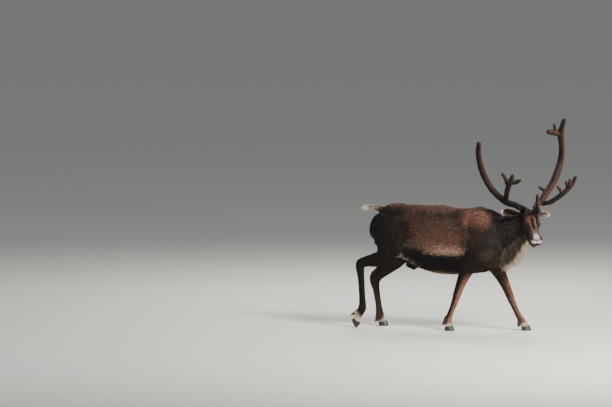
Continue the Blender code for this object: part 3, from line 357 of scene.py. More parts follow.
def add_tube(bm, rows, sides, steps):
    """Adds a round tube with domed ends."""
    rows = eased(rows, steps)
    start, end = Vector(rows[0][:3]), Vector(rows[-1][:3])
    back = (start - Vector(rows[1][:3])).normalized()
    ahead = (end - Vector(rows[-2][:3])).normalized()
    domes = (0.45, 0.8, 0.98)
    front = [(*(end + ahead * rows[-1][3] * s), rows[-1][3] * math.sqrt(1 - s * s)) for s in domes]
    rear = [(*(start + back * rows[0][3] * s), rows[0][3] * math.sqrt(1 - s * s)) for s in reversed(domes)]
    full = [(*row[:3], row[3], row[3], row[3]) for row in (*rear, *rows, *front)]
    across = LEFT if max(abs(ahead.dot(LEFT)), abs(back.dot(LEFT))) < 0.85 else UP
    add_loft(bm, full, across, sides)


def add_ball(bm, centre, half_sizes, segments=24, rings=16):
    """Adds an oval ball."""
    place = Matrix.Translation(centre) @ Matrix.Diagonal((*half_sizes, 1))
    bmesh.ops.create_uvsphere(bm, u_segments=segments, v_segments=rings, radius=1, matrix=place)


def opposite(point, side):
    """A point or a way on the left, or its mirror image on the right."""
    return Vector((point[0], point[1] * side, point[2]))


def new_piece(name, bm):
    """Makes an object of what was built."""
    mesh = bpy.data.meshes.new(name)
    bm.to_mesh(mesh)
    bm.free()
    piece = bpy.data.objects.new(name, mesh)
    bpy.context.scene.collection.objects.link(piece)
    return piece


def settle(piece):
    """Applies a piece's modifiers to its mesh."""
    bpy.context.view_layer.update()
    mesh = bpy.data.meshes.new_from_object(piece.evaluated_get(bpy.context.evaluated_depsgraph_get()))
    piece.modifiers.clear()
    old = piece.data
    piece.data = mesh
    bpy.data.meshes.remove(old)
    mesh.name = piece.name
    return piece


def fused(piece, grain, rounds):
    """Fuses the forms of a piece into one skin."""
    remesh = piece.modifiers.new("fuse", "REMESH")
    remesh.mode = "VOXEL"
    remesh.voxel_size = grain
    soften = piece.modifiers.new("soften", "SMOOTH")
    soften.factor = 0.5
    soften.iterations = rounds
    return settle(piece)


def points_of(mesh):
    """All points of a mesh, one to a row."""
    found = np.empty(len(mesh.vertices) * 3)
    mesh.vertices.foreach_get("co", found)
    return found.reshape(-1, 3)


def ways_of(mesh):
    """The way that the skin faces at each point."""
    found = np.empty(len(mesh.vertices) * 3, np.float32)
    mesh.vertex_normals.foreach_get("vector", found)
    return found.reshape(-1, 3).astype(float)


def triangles_of(mesh):
    """The three points of each triangle of a mesh."""
    mesh.calc_loop_triangles()
    found = np.empty(len(mesh.loop_triangles) * 3, np.int64)
    mesh.loop_triangles.foreach_get("vertices", found)
    return found.reshape(-1, 3)


def moved(matrix, points):
    """Points carried by a matrix."""
    m = np.array(matrix)
    return points @ m[:3, :3].T + m[:3, 3]


def foot_frame(leg):
    """Where a foot stands and how far its toe tips down."""
    place, tip, _ = FEET[leg]
    return Matrix.Translation(place) @ Matrix.Rotation(math.radians(tip), 4, "Y")


def pastern_frame(leg):
    """Where a foot stands and how far its pastern leans."""
    place, _, lean = FEET[leg]
    return Matrix.Translation(place) @ Matrix.Rotation(math.radians(lean), 4, "Y")


def hoof_top():
    """Height of the hoof's top over the foot's own point, and how far it rises for each metre forward."""
    high, low, size, lean = HOOF_RINGS[-1]
    front, heel = HOOF[0][0] * size + lean, min(x for x, _ in HOOF) * size + lean
    slope = (high - low) / (front - heel)
    return low - heel * slope, slope


def cut_near(mesh, middle, reach, point, rise):
    """Cuts off what lies below a plane within reach of a place, and closes the cut."""
    bm = bmesh.new()
    bm.from_mesh(mesh)
    near = [face for face in bm.faces if (face.calc_center_median() - middle).length < reach]
    edges = {edge for face in near for edge in face.edges}
    corners = {corner for face in near for corner in face.verts}
    geom = near + list(edges) + list(corners)
    bmesh.ops.bisect_plane(bm, geom=geom, plane_co=point, plane_no=-rise, clear_outer=True)
    bmesh.ops.edgeloop_fill(bm, edges=[edge for edge in bm.edges if edge.is_boundary])
    bm.to_mesh(mesh)
    bm.free()


bm = bmesh.new()
add_loft(bm, eased([
    (x, 0, belly + (back - belly) * share, wide, (back - belly) * (1 - share), (back - belly) * share)
    for x, back, belly, wide, share in TORSO
], 5), LEFT, 40)
for rows in (NECK, MANE):
    add_loft(bm, eased(rows, 5), LEFT, 32)
add_loft(bm, eased(list(reversed(TAIL)), 5), LEFT, 20)
for rows in (*LIMBS.values(), *SINEWS.values()):
    add_loft(bm, eased(rows, 5), LEFT, 24)
for centre, half_sizes in MASSES:
    add_ball(bm, centre, half_sizes)
head_forms = bmesh.new()
for rows in (SKULL, JAW):
    centred = [(x, 0, z, wide, above, below) for x, z, wide, above, below in rows]
    add_loft(head_forms, eased(centred, 5), LEFT, 32)
for centre, half_sizes in HEAD_MASSES:
    for side in (1, -1):
        add_ball(head_forms, opposite(centre, side), half_sizes)
head_forms.transform(HEAD)
carrier = bpy.data.meshes.new("head forms")
head_forms.to_mesh(carrier)
head_forms.free()
bm.from_mesh(carrier)
bpy.data.meshes.remove(carrier)
for side in (1, -1):
    rise = opposite(BURR_RISE, side)
    top = opposite(BURR, side)
    stubs = (opposite(PEDICLE_FOOT, side), top, top + rise * 0.012)
    add_tube(bm, [(*(CROWN @ point), PEDICLE_RADIUS) for point in stubs], 24, 3)
for root, way, _ in EARS.values():
    stubs = (Vector(root) - Vector(way) * 0.05, Vector(root) + Vector(way) * 0.016)
    add_tube(bm, [(*(CROWN @ point), EAR_ROOT_RADIUS) for point in stubs], 20, 3)
for leg in FEET:
    for side in (1, -1):
        root, way = opposite(DEWCLAW, side), opposite(DEWCLAW_WAY, side)
        collar = (root - way * 0.036, root - way * 0.004)
        collar = [(*(pastern_frame(leg) @ point), DEWCLAW_ROOT + DEWCLAW_COLLAR) for point in collar]
        add_tube(bm, collar, 16, 3)
skin = fused(new_piece("skin", bm), SKIN_GRAIN, 4)
for leg in FEET:
    place = foot_frame(leg)
    height, slope = hoof_top()
    rise = (place.to_3x3() @ Vector((-slope, 0, 1))).normalized()
    point = place @ Vector((0, 0, height - 0.002))
    cut_near(skin.data, point, 0.11, point, rise)


def links_of(mesh):
    """The two points of each edge of a mesh."""
    found = np.empty(len(mesh.edges) * 2, np.int64)
    mesh.edges.foreach_get("vertices", found)
    return found.reshape(-1, 2)


def softened(points, links, rounds, share):
    """Points drawn toward the middle of their neighbours."""
    points = points.copy()
    a, b = links.T
    count = len(points)
    degree = np.maximum(np.bincount(links.ravel(), minlength=count), 1)
    for _ in range(rounds):
        middle = np.stack([
            np.bincount(a, points[b, k], count) + np.bincount(b, points[a, k], count) for k in range(3)
        ], 1) / degree[:, None]
        points += (middle - points) * (0.5 * share)[:, None]
    return points


def on_head(points):
    """Points in the frame of the head, with both sides as the left."""
    own = moved(HEAD.inverted(), points)
    own[:, 1] = np.abs(own[:, 1])
    return own


def head_share(points):
    """1 on the head and 0 on neck and body."""
    ahead = Vector((0.760, -0.533, 0.371)).normalized()
    return ramp((points - np.array((0.780, -0.080, 0.985))) @ np.array(ahead), -0.01, 0.03)


# Where the hide changes: a place, how far around it holds, the way of the hair, its length, and the
# depth of the coat
HIDE = []
PARTS = ("trunk", "neck", "throat", "tail", "head", *LIMBS)
# The same on the left of the head, in its own frame: place, way, length and depth
HEAD_HIDE = (
    ((-0.030, 0.000, -0.010), (-1, 0, -0.10), 0.020, 0.006),
    ((0.040, 0.000, 0.010), (-1, 0, 0.00), 0.014, 0.004),
    ((0.100, 0.000, 0.015), (-1, 0, 0.00), 0.012, 0.0035),
    ((0.200, 0.000, 0.005), (-1, 0, 0.00), 0.009, 0.0025),
    ((0.300, 0.000, -0.005), (-1, 0, 0.00), 0.006, 0.0015),
    ((0.350, 0.000, -0.030), (-1, 0, 0.30), 0.0045, 0.0008),
    ((0.040, 0.065, -0.060), (-1, 0, -0.30), 0.015, 0.005),
    ((0.090, 0.072, -0.085), (-1, 0, -0.45), 0.013, 0.0045),
    ((0.140, 0.068, -0.080), (-1, 0, -0.35), 0.011, 0.003),
    ((0.120, 0.072, -0.030), (-1, 0.1, 0.10), 0.009, 0.0025),
    ((0.170, 0.066, -0.030), (-1, 0.1, 0.10), 0.008, 0.002),
    ((0.210, 0.055, -0.075), (-1, 0, -0.20), 0.009, 0.0025),
    ((0.300, 0.045, -0.070), (-1, 0, -0.10), 0.006, 0.0012),
    ((0.350, 0.042, -0.085), (-1, 0, -0.20), 0.005, 0.0008),
    ((0.335, 0.000, -0.125), (-1, 0, -0.20), 0.008, 0.001),
    ((0.250, 0.020, -0.136), (-1, 0, -0.15), 0.012, 0.0025),
    ((0.150, 0.020, -0.152), (-1, 0, -0.15), 0.014, 0.004),
    ((0.060, 0.030, -0.160), (-1, 0, -0.25), 0.020, 0.006),
)
HEAD_REACH = 0.040


def hide_row(part, place, reach, way, length, depth):
    """Keeps how the hair grows around one place."""
    HIDE.append((*place, reach, *Vector(way).normalized(), length, depth, PARTS.index(part)))


for x in (-0.62, -0.46, -0.30, -0.14, 0.02, 0.18, 0.32):
    for side in (1, -1):
        hide_row("trunk", (x, 0, 1.12), 0.12, (-1, 0, -0.04), 0.026, 0.008)
        hide_row("trunk", (x, 0.16 * side, 1.02), 0.12, (-1, 0, -0.30), 0.027, 0.009)
        hide_row("trunk", (x, 0.21 * side, 0.84), 0.12, (-1, 0, -0.45), 0.028, 0.009)
        hide_row("trunk", (x, 0.15 * side, 0.64), 0.12, (-1, 0, -0.35), 0.026, 0.008)
        hide_row("trunk", (x, 0, 0.52), 0.10, (-1, 0, -0.02), 0.022, 0.007)
for side in (1, -1):
    hide_row("trunk", (-0.66, 0.05 * side, 0.96), 0.10, (-0.35, 0, -1), 0.030, 0.009)
    hide_row("trunk", (-0.56, 0.17 * side, 0.86), 0.13, (-0.62, 0, -0.78), 0.026, 0.009)
    hide_row("trunk", (0.42, 0.17 * side, 0.84), 0.13, (-0.60, 0, -0.80), 0.028, 0.009)
    hide_row("trunk", (0.56, 0.08 * side, 0.62), 0.09, (-0.25, 0, -1), 0.032, 0.009)
for x, y, z, wide, above, below in NECK[1:6]:
    hide_row("neck", (x, y, z + above), 0.09, (-0.85, 0.12, -0.30), 0.032, 0.010)
    for side in (1, -1):
        hide_row("neck", (x, y + wide * side, z + 0.02), 0.09, (-0.55, 0.05, -0.85), 0.040, 0.012)
for x, y, z, wide, above, below in MANE:
    hide_row("throat", (x + below * 0.5, y, z - below * 0.8), 0.07, (-0.10, 0, -1), 0.034, 0.002)
for x, y, z, wide, above, below in TAIL[1:]:
    hide_row("tail", (x, y, z), 0.05, (-1, 0, -0.12), 0.040, 0.003)
for leg, rows in LIMBS.items():
    for i, row in enumerate(rows[3:], 3):
        way = Vector(rows[min(i + 1, len(rows) - 1)][:3]) - Vector(rows[i - 1][:3])
        way = way.normalized() + Vector((-0.12, 0, 0))
        down = min(1, (i - 3) / (len(rows) - 6))
        hide_row(leg, row[:3], 0.060 - 0.015 * down, way, 0.022 - 0.0125 * down, 0.0065 - 0.004 * down)
for place, way, length, depth in HEAD_HIDE:
    for side in (1, -1):
        lie = HEAD.to_3x3() @ opposite(way, side)
        hide_row("head", HEAD @ opposite(place, side), HEAD_REACH, lie, length, depth)
HIDE = np.array(HIDE)


def hide_at(points):
    """The way of the hair at each point, its length, and the depth of the coat."""
    made = []
    for start in range(0, len(points), 20000):
        part = points[start:start + 20000]
        apart = (part**2).sum(1)[:, None] + (HIDE[:, :3]**2).sum(1)[None] - 2 * part @ HIDE[:, :3].T
        weight = np.exp(-np.maximum(apart, 0) / HIDE[:, 3] ** 2) + 1e-12
        made.append(np.column_stack([weight @ HIDE[:, 4:9] / weight.sum(1)[:, None], weight.argmax(1)]))
    made = np.concatenate(made)
    return made[:, :3], made[:, 3], made[:, 4], made[:, 5].astype(int)


links = links_of(skin.data)
points = points_of(skin.data)
fine = head_share(points)
low = ramp(points[:, 2], 0.62, 0.45) * (1 - fine)
points = softened(points, links, 18, 1 - 0.75 * fine - 0.66 * low)
skin.data.vertices.foreach_set("co", points.ravel())
skin.data.update()
points -= ways_of(skin.data) * hide_at(points)[2][:, None]
skin.data.vertices.foreach_set("co", points.ravel())

# The face is divided finer, most of all around the eyes and on the muzzle
FACE_MIDDLE = -0.06  # height of the middle of the face, in the frame of the head
for turn in range(2):
    bm = bmesh.new()
    bm.from_mesh(skin.data)
    centres = on_head(np.array([face.calc_center_median() for face in bm.faces]))
    near_eye = np.linalg.norm(centres - np.array(EYE), axis=1) < 0.036
    off = np.abs(centres[:, 2] - FACE_MIDDLE)
    if turn == 0:
        wanted = (centres[:, 0] > -0.005) & (centres[:, 1] < 0.11) & (off < 0.15)
    else:
        wanted = near_eye | ((centres[:, 0] > 0.305) & (centres[:, 1] < 0.1) & (off < 0.1))
    faces = [face for face, keep in zip(bm.faces, wanted) if keep]
    edges = list({edge for face in faces for edge in face.edges})
    bmesh.ops.subdivide_edges(bm, edges=edges, cuts=1, use_grid_fill=True)
    bm.to_mesh(skin.data)
    bm.free()
    points = points_of(skin.data)
    share = ramp(on_head(points)[:, 0], -0.02, 0.02) * head_share(points)
    points = softened(points, links_of(skin.data), 3, share)
    skin.data.vertices.foreach_set("co", points.ravel())
    skin.data.update()

# Lids, the groove before each eye, nostrils and the line of the mouth, in the frame of the head
EYE_ALONG = (Vector((1, 0, -0.10)) - EYE_LOOK * EYE_LOOK.dot(Vector((1, 0, -0.10)))).normalized()
EYE_RISE = EYE_LOOK.cross(EYE_ALONG)
if EYE_RISE.z < 0:
    EYE_RISE = -EYE_RISE
OPENING = (0.0165, 0.0105)
LID_DEPTH = 0.0030
EYE_BED = 0.0035
LIPS = np.array(eased(MOUTH_LINE, 4))


def eye_share(own):
    """How far a point lies from the middle between the lids, with 1 on their rim, and its three distances."""
    gap = own - np.array(EYE)
    along, rise, out = gap @ np.array(EYE_ALONG), gap @ np.array(EYE_RISE), gap @ np.array(EYE_LOOK)
    narrow = 1 + 0.55 * np.clip(np.abs(along) / OPENING[0], 0, 1.4) ** 2
    return np.hypot(along / OPENING[0], rise * narrow / OPENING[1]), along, rise, out


def mouth_gap(own):
    """Distance from the line of the mouth."""
    best = np.full(len(own), 9.0)
    for a, b in zip(LIPS, LIPS[1:]):
        step = b - a
        share = np.clip((own - a) @ step / (step @ step), 0, 1)
        best = np.minimum(best, np.linalg.norm(own - a - share[:, None] * step, axis=1))
    return best


NOSTRIL = Vector((0.3290, 0.0465, -0.0195))
NOSTRIL_OUT = Vector((0.62, 0.42, 0.66)).normalized()
NOSTRIL_ALONG = Vector((-0.55, 0.80, 0.10))
NOSTRIL_ALONG = (NOSTRIL_ALONG - NOSTRIL_OUT * NOSTRIL_ALONG.dot(NOSTRIL_OUT)).normalized()


def nostril_share(own):
    """Distance from a nostril, with 1 on its rim."""
    gap = own - np.array(NOSTRIL)
    along, out = gap @ np.array(NOSTRIL_ALONG), gap @ np.array(NOSTRIL_OUT)
    over = gap @ np.array(NOSTRIL_OUT.cross(NOSTRIL_ALONG)) + 9.0 * along**2
    return np.sqrt((along / 0.0140) ** 2 + (over / 0.0085) ** 2 + (out / 0.018) ** 2)


points = points_of(skin.data)
on_face = (head_share(points) > 0.5)
side = np.sign(moved(HEAD.inverted(), points)[:, 1])
own = on_head(points)
faces_out = ways_of(skin.data) @ np.array(HEAD.to_3x3())
faces_out[:, 1] *= side
share, along, rise, out = eye_share(own)
over = np.sqrt(np.maximum((EYE_RADIUS + LID_DEPTH) ** 2 - along**2 - rise**2, 0))
under = np.sqrt(np.maximum((EYE_RADIUS - EYE_BED) ** 2 - along**2 - rise**2, 0))
lid = np.where(share < 1, under + (over - under) * ramp(share, 0.86, 1.04), over)
hold = (1 - ramp(share, 1.35, 2.6)) * (out > -0.002)
reach = np.maximum(over, out)
beyond = np.where(share < 1.6, over + (reach - over) * ramp(share, 1.15, 1.6), reach)
goal = np.where(share < 1.15, lid, beyond)
shift = (goal - out) * hold * (share < 2.6) * on_face
shift -= 0.0016 * np.exp(-((share - 1.62) / 0.16) ** 2) * ramp(rise, 0.0, 0.008) * (out > 0) * on_face
own += shift[:, None] * np.array(EYE_LOOK)
gap = own - np.array((0.1905, 0.066, -0.0520))
slant = gap[:, 2] + 0.35 * gap[:, 0]
gland = np.sqrt((gap[:, 0] / 0.015) ** 2 + (slant / 0.0032) ** 2 + (gap[:, 1] / 0.03) ** 2)
own -= faces_out * (0.0028 * (1 - ramp(gland, 0.3, 1.2)) * on_face)[:, None]
hole = nostril_share(own)
own -= faces_out * (0.0105 * (1 - ramp(hole, 0.55, 1.05)) * on_face)[:, None]
own += faces_out * (0.0014 * np.exp(-((hole - 1.45) / 0.3) ** 2) * on_face)[:, None]
lips = mouth_gap(own)
own -= faces_out * (0.0034 * np.exp(-((lips / 0.0019) ** 2)) * on_face)[:, None]
own += faces_out * (0.0012 * np.exp(-(((lips - 0.0070) / 0.003) ** 2)) * on_face)[:, None]
own[:, 1] *= side
points = np.where(on_face[:, None], moved(HEAD, own), points)
skin.data.vertices.foreach_set("co", points.ravel())
skin.data.update()
body = skin.vertex_groups.new(name="body")
body.add([int(k) for k in np.nonzero(head_share(points) < 0.5)[0]], 1, "REPLACE")
fewer = skin.modifiers.new("fewer", "DECIMATE")
fewer.vertex_group = "body"
held = {vertex.index for vertex in skin.data.vertices if not vertex.groups}
face_sizes = [(len(face.vertices) - 2, held.issuperset(face.vertices)) for face in skin.data.polygons]
whole, face_part = sum(size for size, _ in face_sizes), sum(size for size, on_it in face_sizes if on_it)
fewer.ratio = (face_part + BODY_FACES) / whole
settle(skin)
skin.vertex_groups.clear()

# The colours of the hide: a brown so dark that it looks black in the shade, with painted light where light
# falls on back, flanks and shoulders, and paler where the old coat stays
GROUND = "#17110f"
# From where to where a patch fades, with 1 at the end of its half sizes
PATCH_EDGE = (0.5, 1.15)
# Patches on body and legs: centre, half sizes, colour and how much of it shows. One on the left stands for
# both sides.
PATCHES = (
    # Painted light: the next three patches make back, flank and loin paler where the light falls, and the one
    # after them is a painted highlight on the shoulder
    ((-0.020, 0.000, 1.130), (0.62, 0.200, 0.110), "#634439", 0.85),
    ((0.020, 0.200, 0.930), (0.34, 0.120, 0.190), "#573e35", 0.85),
    ((-0.240, 0.180, 1.030), (0.14, 0.120, 0.110), "#4d372f", 0.80),
    ((0.340, 0.120, 1.020), (0.17, 0.130, 0.120), "#83594a", 0.90),
    # Painted shade below the shoulder
    ((0.330, 0.170, 0.860), (0.13, 0.100, 0.130), "#33261f", 0.60),
    ((0.000, 0.200, 0.800), (0.30, 0.120, 0.110), "#674639", 0.70),
    ((-0.200, 0.195, 0.770), (0.13, 0.100, 0.058), "#5b4d46", 0.60),
    ((0.060, 0.200, 0.740), (0.21, 0.120, 0.060), "#957363", 0.75),
    ((0.040, 0.200, 0.714), (0.17, 0.120, 0.028), "#bd9980", 0.65),
    ((0.180, 0.190, 0.706), (0.08, 0.110, 0.022), "#8d7d72", 0.55),
    ((-0.050, 0.170, 0.632), (0.36, 0.150, 0.064), "#080606", 1.00),
    ((-0.100, 0.050, 0.508), (0.32, 0.100, 0.026), "#8a7350", 0.90),
    ((-0.350, 0.130, 0.662), (0.034, 0.060, 0.024), "#b09c7c", 0.85),
    ((-0.310, 0.135, 0.630), (0.036, 0.060, 0.026), "#a89684", 0.85),
    ((-0.265, 0.125, 0.590), (0.038, 0.060, 0.026), "#9f8f80", 0.80),
    ((-0.225, 0.110, 0.555), (0.040, 0.060, 0.022), "#94836f", 0.75),
    ((0.380, 0.110, 0.556), (0.060, 0.070, 0.020), "#5f4632", 0.75),
    ((0.470, 0.115, 0.592), (0.060, 0.070, 0.020), "#694d38", 0.75),
    ((0.550, 0.100, 0.628), (0.060, 0.080, 0.024), "#7d5f45", 0.75),
    ((0.620, 0.040, 0.640), (0.050, 0.080, 0.050), "#c8b6a2", 0.85),
    ((0.660, 0.080, 0.960), (0.18, 0.140, 0.190), "#262120", 0.90),
    ((0.520, 0.130, 0.860), (0.10, 0.120, 0.200), "#2a2321", 0.80),
    ((0.450, 0.140, 0.700), (0.10, 0.100, 0.060), "#4b3e38", 0.55),
    ((-0.672, 0.030, 1.030), (0.024, 0.050, 0.060), "#cbbdab", 0.85),
    ((-0.720, 0.000, 1.070), (0.110, 0.080, 0.036), "#dccfbe", 0.95),
    ((-0.690, 0.000, 1.112), (0.070, 0.030, 0.018), "#6b5443", 0.75),
)
# Patches on the head, in its own frame
FACE_PATCHES = (
    ((0.040, 0.000, 0.010), (0.110, 0.090, 0.050), "#221c1b", 0.90),
    ((0.110, 0.070, -0.090), (0.150, 0.055, 0.085), "#1a1614", 0.90),
    # Reddish hair of the forehead, made brighter as painted light where light falls on the brow ridges
    ((0.114, 0.017, 0.014), (0.032, 0.020, 0.022), "#a0705c", 0.90),
    ((0.144, 0.027, 0.010), (0.036, 0.018, 0.020), "#a0705c", 0.95),
    ((0.150, 0.000, 0.014), (0.070, 0.016, 0.030), "#4c342b", 0.75),
    # The same reddish hair with painted light, on along the ridges of the face
    ((0.188, 0.018, 0.006), (0.044, 0.018, 0.020), "#7d5645", 0.85),
    ((0.230, 0.018, 0.000), (0.034, 0.018, 0.020), "#6b4b40", 0.85),
    ((0.215, 0.060, -0.040), (0.060, 0.028, 0.045), "#211a18", 0.85),
    ((0.262, 0.020, -0.010), (0.030, 0.044, 0.030), "#3a2b29", 0.80),
    ((0.284, 0.006, -0.002), (0.040, 0.030, 0.030), "#574a47", 0.75),
    ((0.318, 0.004, -0.010), (0.040, 0.036, 0.034), "#928682", 0.85),
    ((0.356, 0.026, -0.037), (0.022, 0.048, 0.016), "#b0a59d", 0.90),
    # Painted shade on the side of the muzzle, then the dark nostril skin with a painted shadow around it
    ((0.290, 0.060, -0.048), (0.046, 0.020, 0.040), "#231f1f", 0.90),
    ((0.314, 0.046, -0.018), (0.026, 0.022, 0.020), "#141114", 0.95),
    ((0.350, 0.000, -0.024), (0.013, 0.011, 0.014), "#433b39", 0.85),
    ((0.362, 0.020, -0.064), (0.050, 0.070, 0.020), "#1d1716", 0.95),
    ((0.315, 0.000, -0.104), (0.080, 0.060, 0.040), "#191412", 0.95),
    ((0.150, 0.020, -0.160), (0.130, 0.045, 0.028), "#4b4039", 0.70),
)
# SHIN is redder hair on the fronts of the forelegs, laid on more where they face ahead, partly painted light;
# the backs of the lower legs are darkened as painted shade
SHIN = "#9a6b58"
LEG_BACK_PAINTED_SHADE = "#110c0b"
SOCK = "#cfc4b6"
INNER = "#54433a"


def linear(code):
    """A colour code turned into linear light."""
    share = np.array([int(code[k:k + 2], 16) for k in (1, 3, 5)]) / 255
    return np.where(share <= 0.04045, share / 12.92, ((share + 0.055) / 1.055) ** 2.4)


def drift(points, size, seed=0):
    """Soft changes from place to place, from -1 to 1, that repeat nowhere near."""
    chance = np.random.default_rng(1000 + seed)
    total = np.zeros(len(points))
    for k in range(6):
        way = chance.normal(size=3)
        way *= math.tau / (size * (0.6 + 0.35 * k)) / np.linalg.norm(way)
        total += np.sin(points @ way + chance.uniform(0, math.tau))
    return total / 3.0


def laid_over(colours, share, code):
    """A colour laid over others, with its share at each point."""
    return colours + (linear(code) - colours) * share[:, None]


def coat_colours(points, facing):
    """The colour of the hide at each point that faces a given way, with painted light and shade: from the
    patches, paler on the fronts of the forelegs and darker on the backs of the lower legs.
    """
    colours = np.tile(linear(GROUND), (len(points), 1))
    rough = 0.17 * drift(points, 0.075, 1) + 0.12 * drift(points, 0.026, 2)
    fine = 0.16 * drift(points, 0.030, 7) + 0.20 * drift(points, 0.012, 8)
    both = np.abs(points * np.array((0, 1, 0))) + points * np.array((1, 0, 1))
    for centre, half, code, strength in PATCHES:
        apart = np.linalg.norm((both - np.array(centre)) / np.array(half), axis=1) + rough
        colours = laid_over(colours, strength * (1 - ramp(apart, *PATCH_EDGE)), code)
    own = on_head(points)
    face = head_share(points)
    for centre, half, code, strength in FACE_PATCHES:
        apart = np.linalg.norm((own - np.array(centre)) / np.array(half), axis=1) + fine
        colours = laid_over(colours, face * strength * (1 - ramp(apart, *PATCH_EDGE)), code)
    low = ramp(points[:, 2], 0.56, 0.42) * (points[:, 0] > 0)
    # Partly painted light: redder and paler fronts of the forelegs where they face ahead
    colours = laid_over(colours, 0.9 * low * ramp(facing[:, 0], -0.15, 0.45), SHIN)
    # Painted shade on the backs of the lower legs
    leg_back_shade = ramp(points[:, 2], 0.62, 0.50) * ramp(facing[:, 0], -0.15, -0.6)
    colours = laid_over(colours, 0.8 * leg_back_shade, LEG_BACK_PAINTED_SHADE)
    inner = -np.sign(points[:, 1]) * facing[:, 1] * ramp(points[:, 2], 0.80, 0.55)
    inner *= np.abs(points[:, 1]) > 0.06
    colours = laid_over(colours, 0.45 * ramp(inner, 0.35, 0.95), INNER)
    height, slope = hoof_top()
    for leg in FEET:
        at = moved(foot_frame(leg).inverted(), points)
        near = np.linalg.norm(at, axis=1) < 0.2
        over = at[:, 2] - height - slope * at[:, 0] + 0.006 * drift(points, 0.012, 3)
        front = leg == "hindleg_left"
        band = 0.075 if leg.startswith("hind") else 0.045
        half = ramp(at[:, 0], -0.010, 0.015) if front else ramp(at[:, 0], 0.020, -0.005)
        colours = laid_over(colours, 0.9 * near * ramp(over, 0.030, 0.008), SOCK)
        colours = laid_over(colours, 0.8 * near * ramp(over, band, band * 0.5) * half, SOCK)
    streak = drift(points * np.array((2.2, 1, 0.5)), 0.030, 5)
    neck = ramp(points[:, 0], 0.42, 0.52) * ramp(points[:, 2], 0.66, 0.74) * (1 - face)
    colours *= (1 + neck * 0.45 * np.clip(streak, -0.6, 1.2) + 0.12 * drift(points, 0.03, 6))[:, None]
    return np.maximum(colours, 0.003)


def new_material(name, values):
    """A material, its tree of nodes, and its shader with the values of its sockets."""
    material = bpy.data.materials.new(name)
    material.use_nodes = True
    shader = material.node_tree.nodes["Principled BSDF"]
    for key, value in values.items():
        shader.inputs[key].default_value = value
    return material, material.node_tree, shader


def add_node(tree, kind, values=None, joined=None, **settings):
    """A node with its settings, the values of its sockets and what is joined to them."""
    node = tree.nodes.new(kind)
    for key, value in settings.items():
        setattr(node, key, value)
    for key, value in (values or {}).items():
        node.inputs[key].default_value = value
    for key, source in (joined or {}).items():
        tree.links.new(source, node.inputs[key])
    return node


def mottled(tree, shader, noise, darkest, palest):
    """The colour that the mesh carries, made darker and paler by a noise."""
    carried = add_node(tree, "ShaderNodeAttribute", attribute_name="hide")
    spread = {"From Min": 0.3, "From Max": 0.7, "To Min": darkest, "To Max": palest}
    shade = add_node(tree, "ShaderNodeMapRange", spread, {"Value": noise.outputs["Fac"]})
    joined = {0: carried.outputs["Color"], "Scale": shade.outputs["Result"]}
    mix = add_node(tree, "ShaderNodeVectorMath", None, joined, operation="SCALE")
    tree.links.new(mix.outputs["Vector"], shader.inputs["Base Color"])


def roughened(tree, shader, noise, strength, height):
    """A surface raised and sunk by a noise."""
    values = {"Strength": strength, "Distance": height}
    raised = add_node(tree, "ShaderNodeBump", values, {"Height": noise.outputs["Fac"]})
    tree.links.new(raised.outputs["Normal"], shader.inputs["Normal"])


def hair_material(name, rough, bump, stretch):
    """Dull hair: the colour that the mesh carries, broken by fine streaks, with a soft sheen."""
    material, tree, shader = new_material(name, {
        "Roughness": rough,
        "Metallic": 0,
        "IOR": 1.45,
        "Specular IOR Level": 0.22,
        "Sheen Weight": 0.03,
        "Sheen Roughness": 0.5,
    })
    place = add_node(tree, "ShaderNodeTexCoord")
    scaled = add_node(tree, "ShaderNodeMapping", {"Scale": stretch}, {"Vector": place.outputs["Object"]})
    grain = {"Scale": 1.0, "Detail": 4.0, "Roughness": 0.6}
    streaks = add_node(tree, "ShaderNodeTexNoise", grain, {"Vector": scaled.outputs["Vector"]})
    mottled(tree, shader, streaks, 0.78, 1.25)
    if bump:
        roughened(tree, shader, streaks, 0.6, bump)
    return material


def wear(mesh, colours):
    """Gives a mesh its colours, one for each point."""
    layer = mesh.color_attributes.new("hide", "FLOAT_COLOR", "POINT")
    opaque = np.concatenate([colours, np.ones((len(colours), 1))], 1)
    layer.data.foreach_set("color", opaque.astype(np.float32).ravel())


# The step from the place where the animal was drawn to its place in the frame
eye_low, eye_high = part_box("eye_left")
SHIFT = (eye_low + eye_high) / 2 - HEAD @ EYE


def place_piece(piece, material, nodes=()):
    """Sets a finished piece into the frame, in place of the CAD nodes that it stands for."""
    piece.data.transform(Matrix.Translation(SHIFT))
    piece.data.materials.clear()
    piece.data.materials.append(material)
    piece.data.polygons.foreach_set("use_smooth", np.ones(len(piece.data.polygons), bool))
    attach(piece, "root")
    if nodes:
        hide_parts(*nodes)
    return piece


skin_points = points_of(skin.data)
skin_ways = ways_of(skin.data)
colours = coat_colours(skin_points, skin_ways)
share = eye_share(on_head(skin_points))[0]
face = head_share(skin_points)
beside = on_head(skin_points)[:, 1] > 0.04
colours = laid_over(colours, face * (1 - ramp(share, 1.15, 1.45)) * beside, "#15100e")
# Painted shade inside the nostrils
hole = nostril_share(on_head(skin_points))
colours = laid_over(colours, face * (1 - ramp(hole, 0.85, 1.25)), "#120e0e")
# Dark lip skin along the mouth, with painted shade in its slit
lips = mouth_gap(on_head(skin_points))
colours = laid_over(colours, face * (1 - ramp(lips, 0.0014, 0.0034)) * 0.85, "#1a1312")
# The hide is painted darker than its hair, less so on the face: painted shade between the hairs
wear(skin.data, colours * (0.62 + 0.30 * face[:, None]))
triangles = triangles_of(skin.data)
